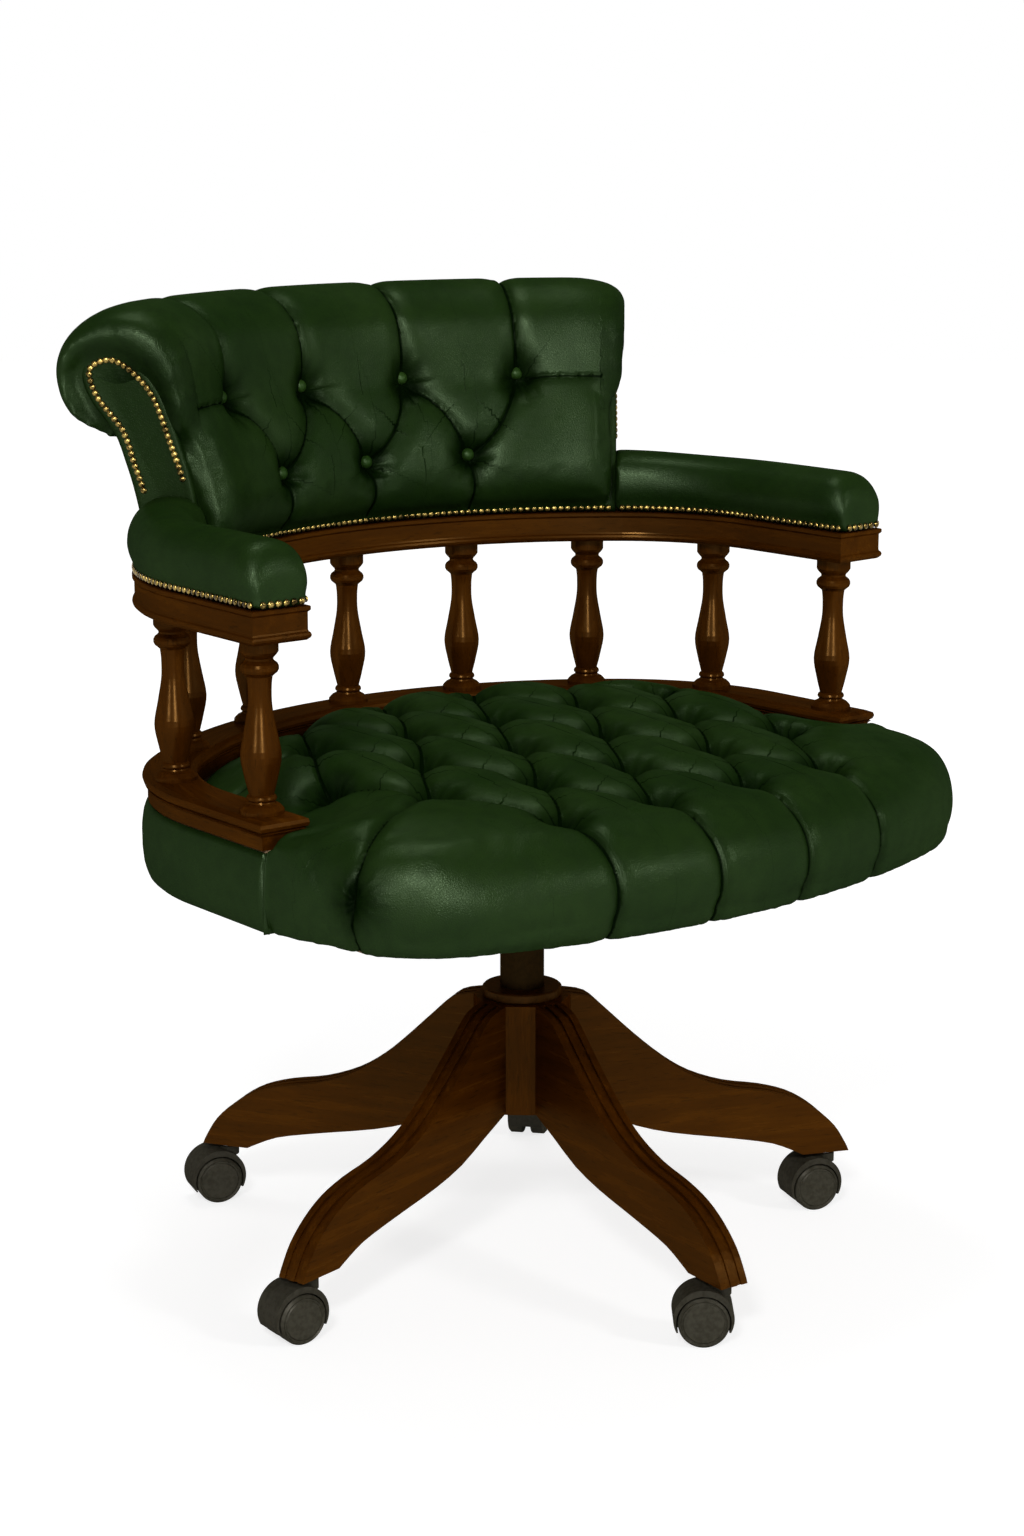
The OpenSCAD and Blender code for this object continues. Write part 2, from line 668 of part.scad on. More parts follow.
module arm_rail() {
    color(WOOD) difference() {
        translate([0, 0, arm_rail_z]) moulded_rail(arm_rail_half(arm_rail_w / 2));
        tenon_holes(arm_rail_z - 1, tenon_l + 2);
    }
}

// Turned outline of a spindle: radius against height over the seat rail
spindle_h = arm_rail_z - seat_rail_z;
foot_r = foot_d / 2;
belly_r = belly_d / 2;
module spindle(k) {
    lower = [[foot_r, 0], [foot_r, 3], [foot_r - 1, 4.4], [foot_r - 3.4, 6.8], [foot_r - 7, 8.6], [foot_r - 7.6, 10],
             [foot_r - 6.2, 11.4], [foot_r - 6, 12.6], [foot_r - 6.6, 14.2], [foot_r - 8.2, 15.6]];
    upper_z = spindle_h - 36;
    belly = curve([[foot_r - 8.2, 15.6], [belly_r - 3, 30], [belly_r, 48], [belly_r - 3.4, 68], [belly_r - 6.8, 88],
                   [belly_r - 7.1, upper_z - 4], [belly_r - 6.2, upper_z + 5]], 4);
    bead = 5.6;
    bead_z = spindle_h - 24;
    bead_arc = [for (a = [-65:26:65]) [16 - bead + bead * cos(a), bead_z + bead * sin(a)]];
    cap = [[11.4, spindle_h - 17.5], [11.6, spindle_h - 15.8], [14.6, spindle_h - 12.5], [15.8, spindle_h - 10.5],
           [15.8, spindle_h]];
    tenon = tenon_d / 2;
    outline = concat([[0, -tenon_l], [tenon, -tenon_l], [tenon, 0]], lower, belly, bead_arc, cap,
                     [[tenon, spindle_h], [tenon, spindle_h + tenon_l], [0, spindle_h + tenon_l]]);
    p = rail_point(spindle_at[k - 1]);
    color(WOOD) translate([p.x, p.y, seat_rail_z]) rotate_extrude($fn = 64) polygon(outline);
}

// Seat cushion: a row of stations from side to side, each running from the front's lower edge to the rear
cushion_low = board_z - 2;
side_z = seat_rail_z - 8;
roll_d = 34;
edge_soft = 14;
side_in = corner_c.x + corner_r - seat_rail_w / 2 - 1;
ROLL = [-55, -20, 10, 38, 64];
TOP_STEPS = 21;

function apart(x, period) = abs(x - period * round(x / period));
line_gap = 1 / norm([1 / tuft_x, 0.5 / tuft_y]);
// 1 in the fold, 0 at its shoulder, round at the shoulder and sharp in the fold
function round_fold(t) = let (k = 1 - min(max(t, 0), 1)) 1 - sqrt(1 - k * k);
shoulder = 38;
pit_r = 34;
function seat_fold(x, y) =
    let (p = x / tuft_x + 0.5, row = (y + tuft_first) / (2 * tuft_y),
         ahead = row < 0,
         d = ahead ? apart(x + tuft_x / 2, tuft_x) : min(apart(p + row, 1), apart(p - row, 1)) * line_gap,
         dp = apart(p + row, 1) * line_gap, dq = apart(p - row, 1) * line_gap)
    fold_depth * round_fold(d / shoulder)
        + (ahead ? 0 : (tuft_depth - fold_depth) * round_fold(norm([dp, dq]) / pit_r));
function seat_edge(x, y) =
    y > arm_front_y ? min(side_in - abs(x), rear_y(x, -seat_rail_w / 2 - 1) - y) : seat_half_w - abs(x);
function seat_top(x, y) =
    let (d = seat_edge(x, y), crown = seat_crown - side_z + rear_rise * smooth((y + 150) / 200))
    side_z + crown * smooth((min(d, y - front_y(x)) - 10) / 80) - edge_soft * (1 - smooth(d / edge_soft))
        - seat_fold(x, y) * smooth(d / 45);

function seat_station(x, rear) =
    let (yf = front_y(x), zt = seat_top(x, yf + roll_d), low = (zt - cushion_low) * 0.45,
         pull = fold_depth * bell(apart(x + tuft_x / 2, tuft_x), 12) * (abs(x) < 2 * tuft_x ? 1 : 0))
    concat(
        [for (a = ROLL) let (up = a < 0 ? -low * sin(a) / sin(ROLL[0]) : (zt - cushion_low - low) * sin(a))
            [x, yf + roll_d - (roll_d - pull) * cos(a), cushion_low + low + up]],
        [for (j = [0:TOP_STEPS]) let (y = yf + roll_d + (rear - yf - roll_d) * j / TOP_STEPS)
            [x, y, seat_top(x, y)]]);
function seat_under(x, rear) =
    let (inside = abs(x) < board_half_w + 2 * pad_gap, yb = front_y(x) + board_setback - pad_gap,
         z = inside ? board_top + pad_gap : cushion_low)
    [[x, yb, cushion_low], [x, yb + (inside ? 0 : 8), z], [x, rear, z]];

seat_inner_x = concat([for (k = [0:12]) k * tuft_x / 4], [side_in - pad_gap]);
seat_outer_x = [side_in + 2, side_in + 14, board_half_w + pad_gap, board_half_w + 2.5, seat_half_w - 8,
                seat_half_w];
function seat_x() = let (half = concat(seat_inner_x, seat_outer_x))
    concat([for (i = [len(half) - 1:-1:1]) -half[i]], half);
function seat_rear(x) = abs(x) < side_in ? rear_y(x, -seat_rail_w / 2 - 1) : arm_front_y - 2 * pad_gap;

module seat_cushion() {
    color(LEATHER) loft([for (x = seat_x()) seat_station(x, seat_rear(x))],
                        [for (x = seat_x()) seat_under(x, seat_rear(x))]);
}

// Arm pads, swept along the rails in front of the back
arm_top = arm_rail_z + arm_rail_h;
skirt_half = arm_rail_w / 2 - 2.5;
skirt_h = 9;
pad_half = arm_rail_w / 2 + 2;
pad_back = back_stop + facing_t + 2 * pad_gap;
pad_front = rail_l + 1;
END_INSETS = [18, 12, 7, 3, 0.8, 0];

// Section of an arm pad from its inner edge over the top: x outwards as a share of its half width,
// y as a share of its height
PAD = [[-1, 0.36], [-1.02, 0.5], [-0.96, 0.7], [-0.78, 0.88], [-0.45, 0.98], [0, 1.01], [0.45, 0.98], [0.78, 0.88],
       [0.96, 0.7], [1.02, 0.5], [1, 0.36]];
function pad_height(s) = arm_pad_h + arm_pad_rise * pow(1 - smooth((s - pad_back) / (corner_l * 0.9)), 1.5);
function pad_stations() =
    let (long = pad_front - END_INSETS[0] - pad_back)
    concat([for (i = [0:21]) pad_back + long * i / 22], [for (d = END_INSETS) pad_front - d]);
function pad_ring(s, side) =
    let (t = min((pad_front - s) / END_INSETS[0], 1), round_off = sqrt(max(1 - pow(1 - t, 2), 0)),
         h = (pad_height(s) - skirt_h) * (0.35 + 0.65 * round_off),
         half = pad_half - 7 * (1 - round_off), skirt = min(skirt_half, half - 1),
         flat = concat([[-skirt, pad_gap], [-skirt, skirt_h]],
                       [for (q = PAD) [q.x * half, skirt_h + (q.y - 0.3) / 0.71 * h]],
                       [[skirt, skirt_h], [skirt, pad_gap]]))
    [for (q = flat) let (p = rail_point(side * s, q.x)) [p.x, p.y, arm_top + q.y]];
function pad_under(s, side) =
    [for (o = [-10, 10]) let (p = rail_point(side * s, o)) [p.x, p.y, arm_top + pad_gap]];
module arm_pad(side) {
    list = side > 0 ? pad_stations() : reversed(pad_stations());
    color(LEATHER) loft([for (s = list) pad_ring(s, side)], [for (s = list) pad_under(s, side)]);
}

// Back: board, padding, end panels and buttons.
// x is outwards from the rails' centre line and y is up from the arm rail's top.
scroll_z = back_top - scroll_r - arm_top;
button_up = button_up_z - arm_top;
button_low = button_low_z - arm_top;
CORE = [[8, 0], [8, 58], [27, 118], [44, 176]];
function core_outline(grow) =
    let (half = core_half + grow, top = len(CORE) - 1,
         front = [for (i = [0:top]) [CORE[i].x - half, CORE[i].y + (i == 0 || i == top ? grow : 0)]])
    [front, [for (q = front) [q.x + 2 * half, q.y]]];

module back_core() {
    sides = core_outline(0);
    half_angle = back_stop / back_r * 180 / PI;
    color(WOOD_INNER) translate([0, back_cy, arm_top]) rotate([0, 0, 90 - half_angle])
        rotate_extrude(angle = 2 * half_angle, $fn = 180) translate([back_r, 0])
            polygon(concat(sides[0], reversed(sides[1])));
}

// The padding's section: up the front, over the scroll and down the rear
BACK_FRONT = [[-38, 14], [-47, 26], [-49, 43], [-46, button_low], [-41, 78], [-34, 98], [-27, 116], [-20, button_up]];
BACK_REAR = [[62, 114], [53, 104], [42, 83], [32, 58], [28, 30]];
SCROLL = [172, 150, 128, 106, 84, 62, 40, 18, -4, -26, -48];
function scroll_point(a, r) = [scroll_out + r * cos(a), scroll_z + r * sin(a)];
function back_section() =
    concat([[-skirt_half, pad_gap], [-skirt_half, skirt_h]], BACK_FRONT, [for (a = SCROLL) scroll_point(a, scroll_r)],
           BACK_REAR, [[skirt_half, skirt_h], [skirt_half, pad_gap]]);

// Depth of the folds at s along the back and a height y: straight above and below the buttons,
// crossed between the rows
function back_fold_depth(s, y) =
    let (t = (y - button_low) / (button_up - button_low), half = button_pitch / 2,
         d = t < 0 ? apart(s, button_pitch)
             : t > 1 ? apart(s - half, button_pitch)
             : min(apart(s - half * t, button_pitch), apart(s + half * t, button_pitch)),
         inside = smooth((2 * button_pitch - abs(s)) / 40))
    back_fold * bell(d, 14) * inside;
function back_tuft_depth(s, y) =
    let (d = min([for (b = buttons) norm([s - b[0], y - b[1]])])) (back_tuft - back_fold) * bell(d, 22);
buttons = concat([for (k = [-1.5:1:1.5]) [k * button_pitch, button_up]],
                 [for (k = [-1:1]) [k * button_pitch, button_low]]);

station_gap = button_pitch / 6;
back_end = back_stop - pad_gap;
back_round = 28;
BACK_ENDS = [13, 5, 1.2, 0];
function back_stations() =
    let (last = floor((back_end - 16) / station_gap),
         half = concat([for (k = [0:last]) k * station_gap], [for (d = BACK_ENDS) back_end - d]))
    concat([for (i = [len(half) - 1:-1:1]) -half[i]], half);
function back_ring(s) =
    let (section = back_section(), n = len(BACK_FRONT), m = len(SCROLL),
         t = max(1 - (back_end - abs(s)) / back_round, 0), closed = 0.85 * (1 - sqrt(1 - t * t)),
         gone = distances(section), panel_gone = distances(PANEL),
         share = panel_gone[len(PANEL) - 1] / gone[len(section) - 1])
    [for (i = [0:len(section) - 1])
        let (q = section[i], on_front = i > 1 && i < n + 2, on_scroll = i >= n + 2 && i < n + 2 + m,
             depth = (on_front ? back_fold_depth(s, q.y) + back_tuft_depth(s, q.y)
                     : on_scroll ? back_fold_depth(s, button_up + 1) : 0) * (1 - t),
             way = on_front ? [1, 0] : on_scroll ? [-cos(SCROLL[i - n - 2]), -sin(SCROLL[i - n - 2])] : [0, 0],
             padded = q + depth * way,
             on_skirt = i < 2 || i > len(section) - 3,
             moved = padded + (point_along(PANEL, panel_gone, gone[i] * share) - padded) * (on_skirt ? 0 : closed),
             p = rail_point(s, moved.x))
        [p.x, p.y, arm_top + moved.y]];
function back_inside(s) =
    let (sides = core_outline(pad_gap), line = concat(sides[0], reversed(sides[1])))
    [for (q = line) let (p = rail_point(s, q.x)) [p.x, p.y, arm_top + q.y]];

// A button's seat: its place along the back, its height and how far out its back lies
function seat_of(b) =
    let (low = b[1] < (button_up + button_low) / 2, front = low ? BACK_FRONT[3] : BACK_FRONT[len(BACK_FRONT) - 1])
    [b[0], b[1], front.x + back_tuft - button_sink - (low ? 0 : slope_lift)];
button_t = 5;
button_sink = 7;
slope_lift = 1.4;
module at_button(b) {
    q = seat_of(b);
    p = rail_point(q[0], q[2]);
    translate([p.x, p.y, arm_top + q[1]]) rotate([0, 0, rail_turn(q[0])]) rotate([0, -90, 0]) children();
}

module back_pad() {
    color(LEATHER) loft([for (s = back_stations()) back_ring(s)], [for (s = back_stations()) back_inside(s)]);
}

module back_buttons() {
    r = button_d / 2;
    color(LEATHER) for (b = buttons) at_button(b) translate([0, 0, pad_gap]) rotate_extrude($fn = 32)
        polygon([[0, 0], [r - 0.6, 0], [r, 0.8], [r, 2], [r * 0.8, 3.8], [r * 0.4, button_t - 0.3], [0, button_t]]);
}

// End panels of the back, in the plane across the rails, and their nails
PANEL = [[-22, 0.5], [-21, 36], [-16, 70], [-5, 106], [8, 141], [26, 167], [50, 180], [71, 176], [80, 161],
         [72, 138], [52, 111], [42, 84], [35, 60], [29, 30], [27, 0.5]];
PANEL_NAILS = [[26.5, 61], [34.5, 84.5], [44, 113], [65.5, 140], [73, 161], [67, 170], [51, 173], [32.5, 162],
               [15.5, 141], [3, 107], [-9, 72]];
// Turns what follows to the plane across the rails at s: x outwards, y up and z along the rails to the front
module across_rail(s) {
    p = rail_point(s);
    translate([p.x, p.y, arm_top]) mirror([s < 0 ? 1 : 0, 0, 0])
        rotate([0, 0, 90 - heading(abs(s))]) rotate([90, 0, 0]) children();
}
module scroll_facings() {
    color(LEATHER) for (side = [-1, 1]) across_rail(side * back_stop)
        translate([0, 0, pad_gap]) linear_extrude(facing_t - pad_gap) polygon(curve(PANEL, 2));
}

nail_t = 2.2;
module nail() {
    r = nail_d / 2;
    cylinder(r = r, h = nail_t * 0.45);
    translate([0, 0, nail_t * 0.45]) cylinder(r1 = r, r2 = r * 0.55, h = nail_t * 0.55);
}
function nail_row(a, b) = let (n = max(round((b - a) / nail_pitch), 1)) [for (i = [0:n]) a + (b - a) * i / n];
module brass_nails() {
    z = arm_top + skirt_h / 2 + 0.3;
    base = skirt_half + pad_gap;
    arm_start = pad_back + nail_pitch;
    arm_stop = pad_front - END_INSETS[0] - 2;
    end_half = skirt_half - 7;
    color(BRASS) {
        for (side = [-1, 1], s = nail_row(arm_start, arm_stop), o = [-base, base]) {
            p = rail_point(side * s, o);
            translate([p.x, p.y, z]) rotate([0, 0, rail_turn(side * s)]) rotate([0, o > 0 ? 90 : -90, 0]) nail();
        }
        for (s = nail_row(3 - back_stop, back_stop - 3), o = [-base, base]) {
            p = rail_point(s, o);
            translate([p.x, p.y, z]) rotate([0, 0, rail_turn(s)]) rotate([0, o > 0 ? 90 : -90, 0]) nail();
        }
        for (side = [-1, 1]) across_rail(side * back_stop) translate([0, 0, facing_t + 0.1])
            for (q = spaced(curve(PANEL_NAILS, 4), nail_pitch)) translate([q.x, q.y, 0]) nail();
        for (side = [-1, 1]) across_rail(side * (rail_l + 0.5)) translate([0, skirt_h / 2 + 0.3, 0.6])
            for (o = nail_row(nail_d / 2 - end_half, end_half - nail_d / 2)) translate([o, 0, 0]) nail();
    }
}

base_hub();
for (k = [1:LEGS]) base_leg(k);
base_dowels();
base_collar();
column_tube();
column_bush();
castor_stems();
for (k = [1:LEGS]) castor_housing(k);
for (k = [1:LEGS]) castor_axle(k);
for (k = [1:LEGS]) castor_wheel(k, -1);
for (k = [1:LEGS]) castor_wheel(k, 1);
column_stem();
tilt_bracket();
tilt_pin();
height_lever();
tension_knob();
seat_plate();
seat_board();
seat_frame();
seat_cushion();
seat_band();
seat_rail();
for (k = [1:9]) spindle(k);
arm_rail();
arm_pad(1);  // arm_pad_left
arm_pad(-1);  // arm_pad_right
back_core();
back_pad();
scroll_facings();
back_buttons();
brass_nails();
wood_screws();
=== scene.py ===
# %% [markdown]
# # A captain's office chair in green leather
# This notebook dresses a chair whose solid pieces already exist as a frame: hub, legs, castors, rails,
# spindles and steel. They keep their shapes and get real finishes here. The padded pieces are only plain
# stand-ins in the frame, so each of them is made anew: the tufted seat, the scrolled back, the arm pads, the
# end panels, the leather band, the buttons and the brass nails.

# %% Load the frame
import math
import random
import bmesh
import bpy
import numpy as np
from mathutils import Matrix, Vector, noise


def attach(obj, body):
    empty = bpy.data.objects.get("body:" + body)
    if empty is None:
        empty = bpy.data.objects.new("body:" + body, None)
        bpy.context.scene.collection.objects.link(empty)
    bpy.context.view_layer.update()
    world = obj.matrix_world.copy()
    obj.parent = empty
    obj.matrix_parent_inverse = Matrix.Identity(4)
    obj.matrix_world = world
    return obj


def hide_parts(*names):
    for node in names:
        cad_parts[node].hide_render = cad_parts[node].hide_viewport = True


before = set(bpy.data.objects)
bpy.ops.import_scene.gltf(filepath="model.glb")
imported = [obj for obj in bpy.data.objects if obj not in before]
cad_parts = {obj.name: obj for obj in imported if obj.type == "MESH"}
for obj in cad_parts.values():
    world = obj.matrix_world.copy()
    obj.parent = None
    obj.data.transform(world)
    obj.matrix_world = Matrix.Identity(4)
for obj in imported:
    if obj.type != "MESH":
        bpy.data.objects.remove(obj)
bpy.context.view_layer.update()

# %% [markdown]
# ## The camera
# A chair in a catalogue is taken with a long lens from a little above the seat, so that its uprights stay
# nearly parallel. The camera here looks down by 12.7 degrees from the sitter's right, along the line of sight
# that the spindles, the rails and the five feet of the picture agree on.

# %% Camera
TURN = math.radians(-40)
TILT = math.radians(12.6774)
back = Vector((math.sin(TURN) * math.cos(TILT), -math.cos(TURN) * math.cos(TILT), math.sin(TILT)))
right = Vector((math.cos(TURN), math.sin(TURN), 0))
up = back.cross(right)
eye = Vector((-1.7496, -2.0708, 1.0524))
camera = bpy.data.objects.new("camera", bpy.data.cameras.new("camera"))
camera.data.lens = 72.68
camera.matrix_world = Matrix.Translation(eye) @ Matrix((right, up, back)).transposed().to_4x4()
bpy.context.collection.objects.link(camera)
bpy.context.scene.camera = camera
print("camera", [round(v, 3) for v in eye])

# %% [markdown]
# ## Light and floor
# Two softboxes stand in front of the chair, one on each side, a third hangs above it, and a dim world fills
# the shadows. Three smaller lamps show only in gloss and give leather its soft patches of shine. The floor
# and the world look white to the camera and to reflections, which Light Path tells apart from the rays that
# only carry light, so the white adds no light to the chair. Reflections see the white walls of the studio up
# to its ceiling, which is as dim as the fill.

# %% Studio
def softbox(name, place, aim, size, power, only_shine=False):
    """An area lamp. One that only shines is seen in gloss and lights nothing else."""
    lamp = bpy.data.objects.new(name, bpy.data.lights.new(name, "AREA"))
    lamp.data.shape = "RECTANGLE"
    lamp.data.size, lamp.data.size_y = size
    lamp.data.energy = power
    lamp.visible_diffuse = not only_shine
    lamp.location = place
    lamp.rotation_euler = (Vector(aim) - Vector(place)).to_track_quat("-Z", "Y").to_euler()
    bpy.context.collection.objects.link(lamp)


softbox("key_left", (-2.6, -2.2, 2.6), (0, 0, 0.5), (0.6, 0.6), 56)
softbox("key_right", (1.2, -3.2, 2.0), (0, 0, 0.5), (0.5, 0.5), 30)
softbox("top", (0.2, 0.6, 3.2), (0, 0, 0.4), (0.9, 0.9), 24)
softbox("shine_high", (-2.5, -2.3, 2.7), (0, 0, 0.6), (0.5, 0.5), 90, True)
softbox("shine_side", (-3.8, -1.4, 1.35), (0, 0, 0.4), (0.5, 0.5), 50, True)
softbox("shine_front", (-2.0, -3.5, 1.25), (0, 0, 0.4), (0.5, 0.5), 80, True)

# %% [markdown]
# ## Shader maths as expressions
# A finish is easier to read as a formula than as a web of nodes. The class S wraps one output socket, so
# that `1 - mask * 0.3` adds its own Math nodes. One method, `node`, makes any other node from its type, its
# settings and its inputs.

# %% Socket class
class S:
    def __init__(self, tree, socket):
        self.tree, self.socket = tree, socket

    def node(self, kind, settings=None, **inputs):
        return make_node(self.tree, kind, settings, **inputs)

    def maths(self, operation, *others):
        node = self.tree.nodes.new("ShaderNodeMath")
        node.operation = operation
        for slot, value in zip(node.inputs, (self,) + others):
            feed(self.tree, slot, value)
        return S(self.tree, node.outputs[0])

    def __add__(self, other): return self.maths("ADD", other)
    def __mul__(self, other): return self.maths("MULTIPLY", other)
    def __sub__(self, other): return self.maths("SUBTRACT", other)
    def __rsub__(self, other): return self * -1 + other
    __radd__ = __add__
    __rmul__ = __mul__

    def clamp(self, low=0.0, high=1.0): return self.maths("MAXIMUM", low).maths("MINIMUM", high)

    def step(self, low, high):
        """0 below low, 1 above high and smooth between them."""
        return self.node("MapRange", {"interpolation_type": "SMOOTHSTEP"},
                         value=self, from_min=low, from_max=high)


def feed(tree, slot, value):
    if isinstance(value, S):
        tree.links.new(value.socket, slot)
    elif hasattr(slot, "default_value"):
        if slot.type == "RGBA" and len(value) == 3:
            value = (*value, 1)
        slot.default_value = value


def make_node(tree, kind, settings=None, out=None, **inputs):
    """A node from its type, its settings, which are set first, and its inputs by name."""
    node = tree.nodes.new("ShaderNode" + kind)
    for key, value in (settings or {}).items():
        if key == "stops":
            ramp = node.color_ramp
            while len(ramp.elements) < len(value):
                ramp.elements.new(0.5)
            for element, (place, colour) in zip(ramp.elements, value):
                element.position, element.color = place, (*colour, 1)
        else:
            setattr(node, key, value)
    for key, value in inputs.items():
        wanted = key.replace("_", " ").lower()
        for slot in node.inputs:
            if slot.enabled and slot.name.lower() == wanted:
                feed(tree, slot, value)
                break
        else:
            raise KeyError(f"{kind} has no input {wanted}")
    outputs = [s for s in node.outputs if s.enabled]
    chosen = outputs[0] if out is None else next(s for s in outputs if s.name == out)
    return S(tree, chosen)


def mix_shader(tree, factor, first, second):
    node = tree.nodes.new("ShaderNodeMixShader")
    for slot, value in zip(node.inputs, (factor, first, second)):
        feed(tree, slot, value)
    return S(tree, node.outputs[0])


def finish(name, paint, gloss=0.0, tint=(1, 1, 1)):
    """A new material. paint(node, to) makes its pattern and feeds the Principled shader's sockets. gloss is
    the share of a glossy layer that is as strong from every side, for a waxed or lacquered surface. Where
    paint returns a share for each place, the layer follows that; the pleated leather's is painted shade, with
    less gloss in folds and hollows."""
    material = bpy.data.materials.new(name)
    material.use_nodes = True
    tree = material.node_tree
    shader = tree.nodes["Principled BSDF"]

    def node(kind, settings=None, out=None, **inputs):
        return make_node(tree, kind, settings, out, **inputs)

    def to(socket, value):
        feed(tree, shader.inputs[socket], value)

    gloss_share = paint(node, to)
    if gloss:
        shine = tree.nodes.new("ShaderNodeBsdfAnisotropic")
        feed(tree, shine.inputs["Color"], tint)
        for socket in ("Roughness", "Normal"):
            tree.links.new(shader.inputs[socket].links[0].from_socket, shine.inputs[socket])
        feed(tree, tree.nodes["Material Output"].inputs["Surface"],
             mix_shader(tree, gloss if gloss_share is None else gloss_share * gloss, S(tree, shader.outputs[0]),
                        S(tree, shine.outputs[0])))
    return material


print("socket class ready")

# %% World and floor
# The walls fade into the ceiling between two slopes of the ray. The paper glows less round the chair
FILL, CEILING = 0.22, (0.20, 0.50)
PAPER_GLOW, PAPER_GAIN = 0.78, 0.22


def seen_rays(tree):
    rays = [make_node(tree, "LightPath", out=out) for out in
            ("Is Camera Ray", "Is Glossy Ray", "Is Transmission Ray")]
    return (rays[0] + rays[1] + rays[2]).clamp()


scene = bpy.context.scene
scene.view_settings.view_transform = "Standard"
scene.world = bpy.data.worlds.new("studio")
scene.world.use_nodes = True
air = scene.world.node_tree
air.nodes.clear()
fill = make_node(air, "Background", color=(1, 1, 1), strength=FILL)
white = make_node(air, "Background", color=(1, 1, 1), strength=1.0)
air_out = air.nodes.new("ShaderNodeOutputWorld")
rise = make_node(air, "SeparateXYZ", out="Z", vector=make_node(air, "TexCoord", out="Generated"))
walls = 1 - rise.step(*CEILING) * (1 - make_node(air, "LightPath", out="Is Camera Ray"))
feed(air, air_out.inputs["Surface"], mix_shader(air, seen_rays(air) * walls, fill, white))

floor_mesh = bmesh.new()
bmesh.ops.create_circle(floor_mesh, cap_ends=True, segments=64, radius=9)
floor_data = bpy.data.meshes.new("floor")
floor_mesh.to_mesh(floor_data)
floor_mesh.free()
floor = bpy.data.objects.new("floor", floor_data)
bpy.context.collection.objects.link(floor)
paper = bpy.data.materials.new("paper")
paper.use_nodes = True
sheet = paper.node_tree
sheet.nodes.clear()
spot = make_node(sheet, "TexCoord", out="Object")
far = make_node(sheet, "VectorMath", {"operation": "LENGTH"}, out="Value", vector=spot).step(0.5, 2.2)
pale = make_node(sheet, "BsdfDiffuse", color=(0.8, 0.8, 0.8))
glow = make_node(sheet, "Emission", color=(1, 1, 1), strength=far * PAPER_GAIN + PAPER_GLOW)
soft = make_node(sheet, "BsdfDiffuse", color=(0.42, 0.42, 0.42))
lit = sheet.nodes.new("ShaderNodeAddShader")
feed(sheet, lit.inputs[0], glow)
feed(sheet, lit.inputs[1], soft)
paper_out = sheet.nodes.new("ShaderNodeOutputMaterial")
feed(sheet, paper_out.inputs["Surface"],
     mix_shader(sheet, seen_rays(sheet), pale, S(sheet, lit.outputs[0])))
floor_data.materials.append(paper)
print("world and floor ready")

# %% [markdown]
# ## Green leather
# The chair wears one hide, a bottle green with painted shade that makes it almost black in its folds. A
# fine grain of small pebbles breaks up its shine. It could come from a picture of leather, but a picture
# repeats and needs seams, so the grain here is small cells under a finer noise, in the piece's own space.
# Where a piece is pleated, its mesh carries two attributes: the distance to the nearest pleat and the way
# to the nearest tuft. They draw the line of each fold and the small gathers round each tuft more crisply
# than the mesh could, and their dark is painted shade, as is the dark and dimmer gloss round each tuft.
# The buttons are the same hide painted lighter, which is painted light, and the end panels the same hide
# painted darker and less glossy, which is painted shade from the roll.

# %% Leather
# The deep green is what worn patches darken towards, and also the painted shade in folds and round tufts
GREENS = (0.0012, 0.0048, 0.0006), (0.0078, 0.0222, 0.0030), (0.0128, 0.0310, 0.0050)
GREEN_SHINE = (0.70, 1.0, 0.56)
# How many small gathers go round a tuft, and how far from a fold its lip catches the light
GATHERS, LIP_AT = 11, 3.4


